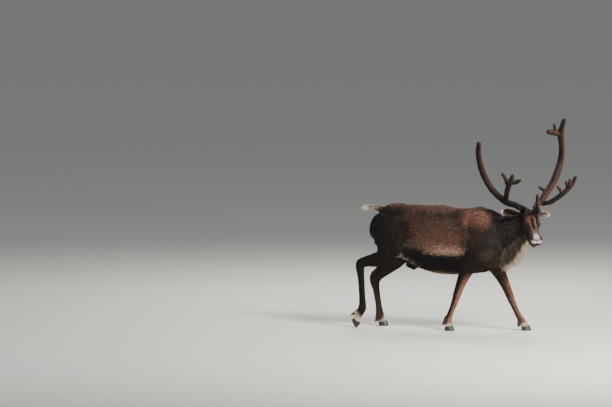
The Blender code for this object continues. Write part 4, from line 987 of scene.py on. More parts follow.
# The hide itself looks like dark felt: dull, with a nap of very short hair that breaks the light
leather = hair_material("hide under the hair, short dark nap", 0.75, 0.0012, (260, 260, 260))
flesh_nodes = ["torso", "neck", "tail", "head"]
flesh_nodes += [f"{leg}_{part}" for leg in FEET for part in ("upper", "lower")]
place_piece(skin, leather, flesh_nodes)

# Short coat
# Dense short summer hair that lies back along body, legs and face, and ends at the outline of the animal.
# It is made as thin overlapping tufts of solid hair, each rooted in the hide.
# Shape of a tuft, and below of a lock: share of the length, width and shade, where a shade below 1 at the
# root is painted shade deep in the coat
COAT_SHAPE = ((0.00, 0.75, 0.60), (0.52, 1.00, 1.00), (1.00, 0.0, 1.16))
COVER = 0.40  # area of hide for each tuft, as a share of its length times its width
PIECE_TUFTS = 19000


def unit(ways):
    """Ways of length 1."""
    return ways / np.maximum(np.linalg.norm(ways, axis=1), 1e-9)[:, None]


def scattered(points, ways, triangles, patch, seed):
    """Roots spread over triangles, one for each patch of a given area, and the way that the skin faces."""
    chance = np.random.default_rng(seed)
    a, b, c = (points[triangles[:, k]] for k in range(3))
    area = 0.5 * np.linalg.norm(np.cross(b - a, c - a), axis=1)
    total = np.cumsum(area / patch)
    count = int(total[-1])
    found = np.searchsorted(total, (np.arange(count) + chance.uniform(0, 1, count)) * total[-1] / count)
    found = np.minimum(found, len(triangles) - 1)
    u, v = chance.uniform(0, 1, (2, count))
    fold = u + v > 1
    u, v = np.where(fold, 1 - u, u), np.where(fold, 1 - v, v)
    weights = np.stack([1 - u - v, u, v])[:, :, None]
    corners = triangles[found]
    roots = sum(points[corners[:, k]] * weights[k] for k in range(3))
    outs = sum(ways[corners[:, k]] * weights[k] for k in range(3))
    return roots, unit(outs)


def rolled_out(roots, rows):
    """The place of each root on an unwrap of the hide, with trunk and neck, head and legs side by side."""
    parts = HIDE[rows, 9].astype(int)
    own = on_head(roots)
    across = np.sign(moved(HEAD.inverted(), roots)[:, 1])
    turn = np.arctan2(roots[:, 1], roots[:, 2] - 0.84) / math.tau + 0.5
    u, v = 0.03 + 0.58 * (roots[:, 0] + 0.9) / 1.8, 0.03 + 0.42 * turn
    head = parts == PARTS.index("head")
    spin = np.arctan2(own[:, 1], own[:, 2] + 0.06) * across / math.tau + 0.5
    u = np.where(head, 0.66 + 0.28 * (own[:, 0] + 0.1) / 0.5, u)
    v = np.where(head, 0.03 + 0.42 * spin, v)
    first = PARTS.index("head") + 1
    legs = parts >= first
    around = np.arctan2(roots[:, 1] - HIDE[rows, 1], roots[:, 0] - HIDE[rows, 0]) / math.tau + 0.5
    u = np.where(legs, 0.03 + 0.24 * (parts - first) + 0.20 * around, u)
    v = np.where(legs, 0.52 + 0.45 * np.clip(roots[:, 2], 0, 0.9) / 0.9, v)
    return np.stack([u, v], 1)


def tuft_width(lengths):
    """How wide a tuft of short hair is."""
    return 0.0021 + 0.088 * lengths


def hair_piece(name, roots, outs, ways, lengths, widths, rises, bends, colours, places, shape,
               sunk=0.0015, thick=0.30):
    """Many tufts or locks in one mesh: each has three sides, is rooted in the skin and runs to a point."""
    count, rings = len(roots), len(shape) - 1
    across = unit(np.cross(ways, outs))
    verts = np.empty((count, rings * 3 + 1, 3))
    shades = np.empty((count, rings * 3 + 1, 3))
    # Each ring takes its shade from the shape; the darker root is painted shade deep in the coat
    for k, (share, wide, shade) in enumerate(shape):
        middle = roots - outs * sunk + ways * (lengths * share)[:, None]
        middle = middle + outs * (rises * math.sin(share * math.pi / 2))[:, None]
        middle = middle + bends * (lengths * share**2)[:, None]
        if k == rings:
            verts[:, -1] = middle
            shades[:, -1] = colours * shade
            continue
        half = across * (widths * wide / 2)[:, None]
        verts[:, 3 * k] = middle - half
        verts[:, 3 * k + 1] = middle + half
        verts[:, 3 * k + 2] = middle + outs * (widths * wide * thick)[:, None]
        shades[:, 3 * k:3 * k + 3] = (colours * shade)[:, None]
    faces = [(0, 1, 2)]
    for k in range(rings - 1):
        for j in range(3):
            n = (j + 1) % 3
            faces.append((3 * k + j, 3 * (k + 1) + j, 3 * (k + 1) + n, 3 * k + n))
    last = 3 * (rings - 1)
    faces += [(last + j, 3 * rings, last + (j + 1) % 3) for j in range(3)]
    flat = np.array([corner for face in faces for corner in face])
    sizes = np.array([len(face) for face in faces])
    size = rings * 3 + 1
    corners = (flat[None] + np.arange(count)[:, None] * size).ravel()
    mesh = bpy.data.meshes.new(name)
    mesh.vertices.add(count * size)
    mesh.vertices.foreach_set("co", verts.astype(np.float32).ravel())
    mesh.loops.add(len(corners))
    mesh.loops.foreach_set("vertex_index", corners.astype(np.int32))
    mesh.polygons.add(count * len(faces))
    totals = np.tile(sizes, count)
    mesh.polygons.foreach_set("loop_start", (np.cumsum(totals) - totals).astype(np.int32))
    mesh.update(calc_edges=True)
    steps = [(0.0015 * (j - 1), 0.003 * shape[k][0]) for k in range(rings) for j in range(3)]
    steps = np.array(steps + [(0, 0.003)])
    spots = (places[:, None] + steps[None]).reshape(-1, 2)[corners]
    layer = mesh.uv_layers.new(name="OFBake")
    layer.data.foreach_set("uv", spots.astype(np.float32).ravel())
    wear(mesh, shades.reshape(-1, 3))
    piece = bpy.data.objects.new(name, mesh)
    bpy.context.scene.collection.objects.link(piece)
    return piece


def combed(ways, outs, turns):
    """Ways laid flat on the skin and turned on it by an angle."""
    flat = ways - outs * (ways * outs).sum(1)[:, None]
    flat = unit(flat + 1e-6)
    return flat * np.cos(turns)[:, None] + np.cross(outs, flat) * np.sin(turns)[:, None]


def throat_share(points):
    """Where the mane grows: 1 in the middle of the throat, 0 at the edge of the mane and beyond."""
    axis = np.array([row[0] for row in MANE_ROWS])
    fans = np.array([row[1] for row in MANE_ROWS])
    apart = points[:, None] - axis[None]
    nearest = np.linalg.norm(apart, axis=2).argmin(1)
    gap = apart[np.arange(len(points)), nearest]
    along = axis[-1] - axis[0]
    along = along / np.linalg.norm(along)
    ends = np.clip((points - axis[0]) @ along, -9, 0) + np.clip((points - axis[-1]) @ along, 0, 9)
    gap = unit(gap - (gap @ along)[:, None] * along)
    angle = np.degrees(np.arccos(np.clip(gap @ np.array(Vector(MANE_OUT).normalized()), -1, 1)))
    return (1 - angle / (fans[nearest] + 6)) - 6 * np.abs(ends)


# Rows of the mane: a point inside the throat, how far the row fans out in degrees, and how long its locks are
MANE_ROWS = (
    ((0.552, -0.006, 0.732), 68, 0.072),
    ((0.580, -0.012, 0.754), 72, 0.080),
    ((0.611, -0.022, 0.782), 74, 0.087),
    ((0.643, -0.034, 0.812), 74, 0.092),
    ((0.674, -0.046, 0.842), 72, 0.090),
    ((0.705, -0.058, 0.871), 66, 0.086),
    ((0.734, -0.070, 0.897), 58, 0.076),
    ((0.758, -0.080, 0.917), 44, 0.064),
)
MANE_OUT = (0.62, 0.00, -0.78)
MANE_FALL = (-0.10, -0.02, -1.00)

middles = skin_points[triangles].mean(1)
_, lengths, _, rows = hide_at(middles)
widths = tuft_width(lengths)
own = on_head(middles)
# Where no short hair grows: lids, nostrils, lips, the throat under the mane, burrs and roots of the ears
bare = (eye_share(own)[0] < 1.75) & (own[:, 1] > 0.04) & (head_share(middles) > 0.5)
bare |= (nostril_share(own) < 1.2) & (head_share(middles) > 0.5)
bare |= (mouth_gap(own) < 0.0022) & (head_share(middles) > 0.5)
bare |= throat_share(middles) > 0.12
for side in (1, -1):
    top = np.array(CROWN @ opposite(BURR, side))
    rise = np.array(CROWN.to_3x3() @ opposite(BURR_RISE, side))
    bare |= ((middles - top) @ rise > -0.004) & (np.linalg.norm(middles - top, axis=1) < 0.05)
for root, way, _ in EARS.values():
    at = moved(CROWN.inverted(), middles) - np.array(root)
    rise = np.array(Vector(way).normalized())
    bare |= (at @ rise > -0.004) & (np.linalg.norm(at, axis=1) < 0.05)
kept = np.nonzero(~bare)[0]
# Short hair looks soft and dull, with streaks too fine to count and only a low gloss on the light side
coat_hair = hair_material("short summer hair", 0.62, 0, (900, 900, 900))
for part in range(len(PARTS)):
    chosen = kept[HIDE[rows[kept], 9] == part]
    if not len(chosen):
        continue
    patch = (widths * lengths * COVER)[chosen]
    roots, outs = scattered(skin_points, skin_ways, triangles[chosen], patch, 50 + part)
    ways, reach, depth, row = hide_at(roots)
    chance = np.random.default_rng(90 + part)
    count = len(roots)
    turns = 0.16 * drift(roots, 0.10, 11) + 0.10 * drift(roots, 0.035, 12) + chance.normal(0, 0.11, count)
    ways = combed(ways, outs, turns)
    reach = reach * chance.uniform(0.80, 1.12, count)
    wide = tuft_width(reach) * chance.uniform(0.8, 1.15, count)
    stray = chance.normal(0, 0.42, (count, 3)) * reach[:, None]
    mottle = chance.uniform(0.76, 1.26, count) * (1 + 0.10 * drift(roots, 0.02, 13))
    tones = coat_colours(roots + stray, outs) * mottle[:, None]
    order = np.argsort(roots[:, 0], kind="stable")
    pieces = math.ceil(count / PIECE_TUFTS)
    for k, some in enumerate(np.array_split(order, pieces)):
        name = f"coat_{PARTS[part]}" + (f"_{k + 1}" if pieces > 1 else "")
        rises = depth[some] * chance.uniform(0.7, 1.2, len(some))
        places = rolled_out(roots[some], row[some])
        piece = hair_piece(name, roots[some], outs[some], ways[some], reach[some], wide[some], rises,
                           np.zeros((len(some), 3)), tones[some], places, COAT_SHAPE)
        place_piece(piece, coat_hair)

# Mane and tail
# Long pale hair that hangs from the throat in a fringe and stands out behind the short tail. The locks are
# rooted in the hide, lie over each other and thin out to their points.
LOCK_SHAPE = (
    (0.00, 0.80, 0.70),
    (0.30, 1.00, 0.92),
    (0.62, 0.80, 1.02),
    (0.86, 0.45, 1.06),
    (1.00, 0.00, 1.08),
)
# Area of hide for each lock
MANE_PATCH = 2.4e-5
TAIL_PATCH = 2.6e-5
# Long hair looks silky and pale, a little glossier than the short coat
long_hair = hair_material("long pale hair of throat and tail", 0.58, 0, (600, 600, 600))
share = throat_share(middles)
chosen = np.nonzero(share > 0.0)[0]
roots, outs = scattered(skin_points, skin_ways, triangles[chosen], np.full(len(chosen), MANE_PATCH), 7)
chance = np.random.default_rng(17)
count = len(roots)
side = outs[:, 1]
share = throat_share(roots)
base = np.interp(roots[:, 0], [row[0][0] for row in MANE_ROWS], [row[2] for row in MANE_ROWS])
fall = np.array(Vector(MANE_FALL).normalized())
ways = unit(fall + outs * chance.uniform(0.06, 0.24, count)[:, None] + chance.normal(0, 0.05, (count, 3)))
bends = np.stack([chance.uniform(-0.10, 0.10, count), chance.uniform(-0.1, 0.1, count) - 0.12 * side,
                  np.full(count, -0.16)], 1)
reach = base * (1 + 0.22 * np.abs(side)) * chance.uniform(0.72, 1.04, count)
reach = reach * (0.72 + 0.28 * ramp(share, 0.0, 0.35))
wide = chance.uniform(0.0055, 0.0095, count)
tones = np.tile(linear("#decaac"), (count, 1)) * chance.uniform(0.80, 1.12, count)[:, None]
darker = coat_colours(roots, outs) + linear("#2a2019") * 0.3
tones += (darker - tones) * (0.95 * ramp(share + 0.07 * drift(roots, 0.03, 21), 0.80, 0.52))[:, None]
piece = hair_piece("mane", roots - ways * 0.006, outs, ways, reach, wide, np.zeros(count), bends, tones,
                   rolled_out(roots, hide_at(roots)[3]), LOCK_SHAPE, 0.0, 0.22)
place_piece(piece, long_hair)
tail_part = np.nonzero((middles[:, 0] < -0.650) & (middles[:, 2] > 1.045))[0]
roots, outs = scattered(skin_points, skin_ways, triangles[tail_part], np.full(len(tail_part), TAIL_PATCH), 8)
chance = np.random.default_rng(18)
count = len(roots)
ways = unit(np.array((-1.0, 0, -0.10)) + outs * 0.20 + chance.normal(0, 0.06, (count, 3)))
bends = np.stack([np.zeros(count), chance.uniform(-0.1, 0.1, count), np.full(count, -0.15)], 1)
reach = 0.058 * chance.uniform(0.75, 1.05, count) * (0.8 + 0.2 * ramp(-roots[:, 0], 0.66, 0.70))
tones = coat_colours(roots, outs) * chance.uniform(0.85, 1.15, count)[:, None]
wide = chance.uniform(0.004, 0.0065, count)
piece = hair_piece("tail_hair", roots - ways * 0.004, outs, ways, reach, wide, np.zeros(count), bends, tones,
                   rolled_out(roots, hide_at(roots)[3]), LOCK_SHAPE, 0.0, 0.22)
place_piece(piece, long_hair)

# Eyes
# Two dark wet eyeballs with a brown iris and a pupil that lies level, each seated in the skull and held by
# the lids, with a row of short stiff lashes rooted along their rim.
# The eyeball looks black and wet, with one sharp light on it
eye_wet, tree, shader = new_material("wet eyeball, clear cornea over a dark iris", {
    "Roughness": 0.06,
    "IOR": 1.376,
    "Coat Weight": 0.6,
    "Coat Roughness": 0.03,
})
carried = add_node(tree, "ShaderNodeAttribute", attribute_name="hide")
tree.links.new(carried.outputs["Color"], shader.inputs["Base Color"])


def spread_flat(roots):
    """The place of each root on a flat sheet, seen from the side of the piece."""
    flat = np.stack([roots[:, 0] - 0.6 * roots[:, 1], roots[:, 2]], 1)
    return 0.03 + 0.94 * (flat - flat.min(0)) / np.maximum(flat.max(0) - flat.min(0), 1e-6)


# Lashes look black and stiff, glossier than the coat
lash_hair = hair_material("stiff black lashes", 0.40, 0, (900, 900, 900))
for side, word in ((1, "left"), (-1, "right")):
    along, look, rise = (HEAD.to_3x3() @ opposite(way, side) for way in (EYE_ALONG, EYE_LOOK, EYE_RISE))
    centre = HEAD @ opposite(EYE, side)
    bm = bmesh.new()
    add_ball(bm, (0, 0, 0), (EYE_RADIUS - 0.0003,) * 3, 96, 64)
    eye = new_piece(f"eyeball_{word}", bm)
    own = points_of(eye.data)
    ring = np.hypot(own[:, 0], own[:, 2]) / EYE_RADIUS
    ahead = own[:, 1] > 0
    tones = np.tile(linear("#4a372c"), (len(own), 1))
    grain = 1 + 0.35 * np.sin(np.arctan2(own[:, 2], own[:, 0]) * 37) * ramp(ring, 0.2, 0.5)
    iris = ahead * (1 - ramp(ring, 0.66, 0.72))
    tones += (linear("#2b170c") * grain[:, None] - tones) * iris[:, None]
    pupil = ahead * (1 - ramp(np.hypot(own[:, 0] / 0.36, own[:, 2] / 0.17) / EYE_RADIUS, 0.85, 1.1))
    tones = laid_over(tones, pupil, "#030303")
    own *= (1 + 0.028 * ahead * (1 - ramp(ring, 0.25, 0.75)) - 0.010)[:, None]
    frame_of_eye = np.stack([np.array(along), np.array(look), np.array(rise)])
    eye.data.vertices.foreach_set("co", (own @ frame_of_eye + np.array(centre)).ravel())
    if side < 0:
        eye.data.flip_normals()
    wear(eye.data, tones)
    place_piece(eye, eye_wet, [f"eye_{word}"])
    chance = np.random.default_rng(61)
    turns = np.concatenate([np.linspace(0.10, 0.92, 46), np.linspace(1.2, 1.8, 14)]) * math.pi
    upper = turns < math.pi
    x = np.cos(turns) * OPENING[0] * 1.08
    z = np.sin(turns) * OPENING[1] * 1.06 / (1 + 0.55 * np.cos(turns) ** 2)
    y = np.sqrt((EYE_RADIUS + LID_DEPTH) ** 2 - x**2 - z**2)
    roots = np.stack([x, y, z], 1) @ frame_of_eye + np.array(centre)
    outs = unit(np.stack([x, y, z], 1)) @ frame_of_eye
    count = len(x)
    fan = np.stack([x * 0.6, 0 * x, np.where(upper, 1.0, -0.8) * 0.012], 1) / 0.012
    ways = unit(outs * 0.9 + fan @ frame_of_eye * 0.6 + chance.normal(0, 0.08, (count, 3)))
    reach = np.where(upper, 0.0085, 0.0045) * chance.uniform(0.8, 1.1, count)
    lashes = hair_piece(f"lashes_{word}", roots, outs, ways, reach, np.full(count, 0.0008), np.zeros(count),
                        np.zeros((count, 3)), np.tile(linear("#0c0908"), (count, 1)), spread_flat(roots),
                        COAT_SHAPE, 0.0, 0.8)
    place_piece(lashes, lash_hair)

# Ears
# A cup of thin gristle under short fur, open to the front and rooted in the head behind the antler. It is
# dark at the root, with a pale rim and long pale hair inside.
EAR_LENGTH = 0.158
EAR_BEND = 0.018
# Rings of the cup: share of the length, radius, half the angle that it closes, and how hollow it is
EAR_CUP = (
    (0.00, 0.0165, 165, 0.15),
    (0.10, 0.0195, 150, 0.45),
    (0.24, 0.0265, 122, 0.80),
    (0.42, 0.0330, 96, 1.00),
    (0.60, 0.0355, 76, 1.00),
    (0.76, 0.0335, 60, 1.00),
    (0.89, 0.0270, 46, 1.00),
    (0.97, 0.0170, 36, 1.00),
    (1.00, 0.0085, 28, 1.00),
)


def ear_place(points, root, way, opens):
    """Share of the ear's length at each point, and the way out from its middle line."""
    at = moved(CROWN.inverted(), points) - np.array(root)
    share = at @ np.array(way) / EAR_LENGTH
    around = at - np.outer(at @ np.array(way), np.array(way))
    return share, around + np.outer(EAR_BEND * share**2, np.array(opens))


def ear_rim(share, out, across, opens):
    """How close each point lies to the rim of the cup, with 1 on it."""
    angle = np.abs(np.arctan2(out @ np.array(across), -out @ np.array(opens)))
    edge = np.interp(share, [row[0] for row in EAR_CUP], [math.radians(row[2]) for row in EAR_CUP])
    return ramp(angle / edge, 0.80, 0.98)


def ear_colours(share, inside, rim, pale):
    """Brown-black outside with a pale tip, grey-cream inside with a paler rim, and darker on the right ear as
    painted shade.
    """
    tones = np.tile(linear("#241b18"), (len(share), 1))
    tones = laid_over(tones, pale * ramp(share, 0.45, 0.9) * 0.55, "#5a473b")
    tones = laid_over(tones, inside * ramp(share, 0.10, 0.35) * (0.10 + 0.75 * pale), "#8f7d74")
    tones = laid_over(tones, inside * (1 - rim) * ramp(share, 0.70, 0.45) * 0.6, "#3a3031")
    tones = laid_over(tones, rim * ramp(share, 0.20, 0.40) * (0.04 + 0.86 * pale), "#c0ab9a")
    return laid_over(tones, ramp(share, 0.80, 0.94), "#e0cdb6")


# Ear skin looks like dull felt, darker than the hair on it
gristle = hair_material("ear skin under short fur", 0.70, 0.0008, (300, 300, 300))
for name, (root, way, opens) in EARS.items():
    way, opens = Vector(way).normalized(), Vector(opens)
    opens = (opens - way * opens.dot(way)).normalized()
    across = way.cross(opens)
    bm = bmesh.new()
    rings = []
    for share, radius, closes, hollow in eased(EAR_CUP, 5):
        centre = Vector(root) + way * (EAR_LENGTH * share + 0.0003) - opens * (EAR_BEND * share * share)
        turns = [math.radians(closes) * (2 * k / 27 - 1) for k in range(28)]
        skin_out, skin_in = radius - 0.0016, (radius - 0.0046) * min(hollow, 1)
        crease = 0.0010 * math.sin(share * 9)
        reaches = [(turn, skin_out) for turn in turns]
        reaches += [(turn, skin_in + crease * math.cos(turn * 7)) for turn in reversed(turns)]
        rings.append([
            bm.verts.new(CROWN @ (centre + (across * math.sin(turn) - opens * math.cos(turn)) * reach))
            for turn, reach in reaches
        ])
    add_walls(bm, rings)
    bmesh.ops.recalc_face_normals(bm, faces=bm.faces)
    cup = new_piece(f"{name}_cup", bm)
    cup.modifiers.new("round", "SUBSURF").levels = 1
    settle(cup)
    points, facing = points_of(cup.data), ways_of(cup.data)
    share, out = ear_place(points, root, way, opens)
    local = facing @ np.array(CROWN.to_3x3())
    inside = ramp(-(local * unit(out)).sum(1), -0.2, 0.4)
    rim = ear_rim(share, out, across, opens)
    # The right ear is darker all over, inside and out: painted shade
    pale = 0.0 if name == "ear_right" else 1.0
    tones = ear_colours(share, inside, rim, pale) * (1 + 0.12 * drift(points, 0.02, 31))[:, None]
    # The ear skin is painted darker than its hair: painted shade under the hair
    wear(cup.data, tones * 0.8)
    place_piece(cup, gristle, [name])
    points = points_of(cup.data) - np.array(SHIFT)
    found = triangles_of(cup.data)
    side_of = inside[found].mean(1)
    for word, chosen, patch, length, lift, seed in (
        ("fur", side_of < 0.5, 1.05e-5, 0.0085, 0.0016, 71),
        ("inner_hair", (side_of >= 0.5) & (share[found].mean(1) > 0.12), 1.5e-5, 0.0130, 0.0040, 72),
    ):
        roots, outs = scattered(points, facing, found[chosen], np.full(chosen.sum(), patch), seed)
        chance = np.random.default_rng(seed)
        count = len(roots)
        lie, out = ear_place(roots, root, way, opens)
        rim = ear_rim(lie, out, across, opens)
        ahead = np.tile(np.array(CROWN.to_3x3() @ way), (count, 1))
        ways = combed(ahead, outs, chance.normal(0, 0.22, count))
        if word == "inner_hair":
            ways = unit(ways + np.array(CROWN.to_3x3() @ opens) * 0.45 + chance.normal(0, 0.10, (count, 3)))
        tones = ear_colours(lie, np.full(count, float(word != "fur")), rim, pale)
        tones *= chance.uniform(0.75, 1.25, count)[:, None]
        reach = length * chance.uniform(0.7, 1.1, count) * (1 - 0.35 * ramp(lie, 0.7, 1.0))
        rises = np.full(count, lift) * chance.uniform(0.5, 1.2, count)
        piece = hair_piece(f"{name}_{word}", roots, outs, ways, reach, 0.0016 + 0.08 * reach, rises,
                           np.zeros((count, 3)), tones, spread_flat(roots), COAT_SHAPE, 0.0008)
        place_piece(piece, coat_hair)

# Hooves and dewclaws
# Dark horn that grows down from the skin in fine rings: two crescents that carry each foot, and two short
# claws behind the fetlock.
# Horn looks dark and hard, half glossy where it is rubbed smooth and dull in its scuffs
horn, tree, shader = new_material("hoof horn, grown in rings, scuffed", {"IOR": 1.55})
place = add_node(tree, "ShaderNodeTexCoord")
grain = {"Scale": 420.0, "Detail": 5.0, "Roughness": 0.65}
scuffs = add_node(tree, "ShaderNodeTexNoise", grain, {"Vector": place.outputs["Object"]})
mottled(tree, shader, scuffs, 0.75, 1.3)
spread = {"From Min": 0.3, "From Max": 0.7, "To Min": 0.38, "To Max": 0.62}
gloss = add_node(tree, "ShaderNodeMapRange", spread, {"Value": scuffs.outputs["Fac"]})
tree.links.new(gloss.outputs["Result"], shader.inputs["Roughness"])
roughened(tree, shader, scuffs, 0.35, 0.0006)

outline = eased([*HOOF, HOOF[0]], 5)[:-1]
front, heel, inner = HOOF[0][0], min(x for x, _ in HOOF), HOOF[-1][1]
for leg in FEET:
    place = foot_frame(leg)
    pastern = pastern_frame(leg)
    for side, word in ((1, "left"), (-1, "right")):
        bm = bmesh.new()
        rings = []
        sole = [(0.0000, 0.90), (0.0008, 0.94), (0.0030, 0.985)]
        wall = [(share, None) for share in np.linspace(0.10, 1.0, 22)]
        for share, narrow in (*sole, *wall):
            ring = []
            for x, y in outline:
                run = (x - heel) / (front - heel)
                if narrow is None:
                    high, low, size, lean = (
                        a + (b - a) * share for a, b in zip(HOOF_RINGS[1], HOOF_RINGS[2]))
                    z = low + (high - low) * run
                    size *= 1 + 0.008 * math.sin(share * 48 - run * 3) * (1 - share * 0.4)
                else:
                    z, size, lean = share, narrow, -0.0003
                point = (x * size + lean, inner + (y - inner) * size, z)
                ring.append(bm.verts.new(place @ opposite(point, side)))
            rings.append(ring)
        add_walls(bm, rings)
        bmesh.ops.recalc_face_normals(bm, faces=bm.faces)
        if place.col[2].z < 1:
            geom = bm.verts[:] + bm.edges[:] + bm.faces[:]
            floor_point = (0, 0, 0.0001)
            bmesh.ops.bisect_plane(bm, geom=geom, plane_co=floor_point, plane_no=-UP, clear_outer=True)
            bmesh.ops.edgeloop_fill(bm, edges=[edge for edge in bm.edges if edge.is_boundary])
        hoof = new_piece(f"{leg}_horn_{word}", bm)
        points = points_of(hoof.data)
        at = moved(place.inverted(), points)
        tones = np.tile(linear("#221c19"), (len(points), 1))
        tones = laid_over(tones, ramp(at[:, 2], 0.012, 0.0) * 0.7, "#5b4d40")
        growth = 0.25 * np.sin(at[:, 2] * 900 - at[:, 0] * 160)
        tones *= (1 + growth + 0.15 * drift(points, 0.02, 41))[:, None]
        wear(hoof.data, np.maximum(tones, 0.004))
        place_piece(hoof, horn, [f"{leg}_hoof_{word}"])
        point = opposite(DEWCLAW, side)
        way = opposite(DEWCLAW_WAY, side).normalized()
        rows = []
        for share in np.linspace(0, 1, 15):
            radius = DEWCLAW_ROOT + (DEWCLAW_TIP - DEWCLAW_ROOT) * share
            radius *= math.sqrt(max(0.04, 1 - max(0, (share - 0.82) / 0.18) ** 2))
            radius *= 1 + 0.03 * math.sin(share * 40)
            centre = pastern @ (point + way * (0.0003 + (DEWCLAW_LENGTH - 0.0004) * share))
            rows.append((*centre, radius * 0.98, radius * 0.98, radius * 0.98))
        bm = bmesh.new()
        add_loft(bm, rows, LEFT, 20)
        claw = new_piece(f"{leg}_claw_{word}", bm)
        points = points_of(claw.data)
        tones = np.tile(linear("#1d1815"), (len(points), 1))
        wear(claw.data, tones * (1 + 0.3 * drift(points, 0.008, 42))[:, None])
        place_piece(claw, horn, [f"{leg}_dewclaw_{word}"])

# Antlers
# This year's antlers, still growing from the burrs on the skull: bone under a skin of dark plush hair, round
# in section, with blunt soft tips and shallow furrows where the blood runs.
ANTLER_GRAIN = 0.0040
PLUSH_PATCH = 2.3e-5
# Shape of a plush tuft: share of the length, width and shade, with the darker root as painted shade
PLUSH_SHAPE = ((0.0, 1.0, 0.85), (1.0, 0.0, 1.15))
# Centre lines in the frame of the crown, each point with its radius
ANTLER_LEFT = {
    "beam": (
        (0.020, 0.055, 1.080, 0.028),
        (0.010, 0.068, 1.115, 0.029),
        (-0.030, 0.100, 1.148, 0.030),
        (-0.080, 0.148, 1.170, 0.032),
        (-0.150, 0.252, 1.262, 0.032),
        (-0.220, 0.350, 1.378, 0.034),
        (-0.250, 0.408, 1.516, 0.031),
        (-0.200, 0.398, 1.625, 0.027),
        (-0.130, 0.362, 1.755, 0.030),
        (-0.080, 0.354, 1.830, 0.026),
        (-0.045, 0.360, 1.890, 0.023),
    ),
    "brow": (
        (0.000, 0.072, 1.140, 0.023),
        (0.050, 0.050, 1.144, 0.020),
        (0.105, 0.032, 1.130, 0.019),
        (0.160, 0.018, 1.104, 0.020),
        (0.195, 0.010, 1.070, 0.020),
        (0.210, 0.006, 1.034, 0.018),
        (0.216, 0.004, 1.000, 0.014),
    ),
    "brow_upper": (
        (0.150, 0.022, 1.115, 0.019),
        (0.190, 0.012, 1.155, 0.018),
        (0.205, 0.006, 1.210, 0.016),
        (0.212, 0.004, 1.250, 0.014),
    ),
    "brow_middle": (
        (0.180, 0.018, 1.100, 0.018),
        (0.222, 0.010, 1.114, 0.015),
        (0.250, 0.008, 1.126, 0.012),
    ),
    "bez": (
        (-0.075, 0.136, 1.154, 0.026),
        (0.000, 0.200, 1.164, 0.024),
        (0.055, 0.260, 1.211, 0.024),
        (0.098, 0.318, 1.268, 0.024),
        (0.126, 0.368, 1.330, 0.021),
        (0.142, 0.396, 1.392, 0.018),
    ),
    "bez_first": (
        (0.080, 0.296, 1.250, 0.018),
        (0.100, 0.262, 1.284, 0.015),
        (0.110, 0.236, 1.310, 0.012),
    ),
    "bez_second": (
        (0.106, 0.338, 1.296, 0.019),
        (0.134, 0.316, 1.332, 0.016),
        (0.146, 0.304, 1.352, 0.014),
    ),
    "bez_third": (
        (0.116, 0.340, 1.306, 0.018),
        (0.144, 0.340, 1.346, 0.015),
        (0.152, 0.338, 1.372, 0.013),
    ),
    "back": (
        (-0.140, 0.232, 1.250, 0.018),
        (-0.160, 0.190, 1.272, 0.015),
        (-0.170, 0.172, 1.288, 0.013),
    ),
    "crown": (
        (-0.125, 0.360, 1.762, 0.027),
        (-0.112, 0.298, 1.776, 0.027),
        (-0.100, 0.236, 1.788, 0.026),
    ),
    "crown_spike": (
        (-0.112, 0.316, 1.778, 0.018),
        (-0.104, 0.296, 1.820, 0.016),
        (-0.098, 0.284, 1.850, 0.013),
    ),
}
ANTLER_RIGHT = {
    "beam": (
        (0.020, -0.055, 1.080, 0.028),
        (0.010, -0.066, 1.115, 0.029),
        (-0.050, -0.106, 1.146, 0.029),
        (-0.120, -0.174, 1.173, 0.031),
        (-0.200, -0.272, 1.280, 0.030),
        (-0.225, -0.352, 1.434, 0.030),
        (-0.155, -0.418, 1.594, 0.026),
        (-0.060, -0.450, 1.702, 0.023),
    ),
    "brow": (
        (0.000, -0.070, 1.136, 0.021),
        (0.050, -0.062, 1.130, 0.018),
        (0.090, -0.055, 1.114, 0.014),
    ),
    "bez": (
        (-0.120, -0.170, 1.174, 0.027),
        (-0.030, -0.196, 1.250, 0.025),
        (0.045, -0.210, 1.318, 0.027),
        (0.080, -0.211, 1.362, 0.030),
    ),
    "bez_palm": (
        (0.070, -0.232, 1.362, 0.024),
        (0.085, -0.211, 1.366, 0.027),
        (0.095, -0.185, 1.368, 0.025),
    ),
    "bez_first": (
        (0.070, -0.230, 1.362, 0.021),
        (0.098, -0.262, 1.405, 0.017),
        (0.110, -0.292, 1.442, 0.014),
    ),
    "bez_second": (
        (0.080, -0.205, 1.366, 0.022),
        (0.110, -0.200, 1.405, 0.019),
        (0.120, -0.198, 1.422, 0.017),
    ),
    "bez_third": (
        (0.074, -0.195, 1.356, 0.022),
        (0.110, -0.158, 1.366, 0.020),
        (0.130, -0.130, 1.380, 0.016),
    ),
}
# Velvet looks like dark plush: dull and soft, almost black away from the light
plush = hair_material("antler velvet, short dark plush hair", 0.70, 0.0010, (420, 420, 420))


def antler_colours(points, facing, painted_light_level):
    """Blackish brown, redder in places, redder and paler on the side that looks ahead as painted light, and
    darker on the right antler as painted shade.
    """
    tones = np.tile(linear("#120c0b"), (len(points), 1)) * painted_light_level
    tones = laid_over(tones, ramp(drift(points, 0.09, 51), -0.1, 0.9) * 0.45 * painted_light_level, "#2e1c16")
    # Painted light: redder and paler on the side that faces ahead, toward the light
    tones = laid_over(tones, ramp(facing[:, 0], 0.35, 0.95) * 0.45 * painted_light_level, "#5c3a2e")
    return tones * (1 + 0.20 * drift(points, 0.012, 52) + 0.12 * drift(points, 0.03, 53))[:, None]


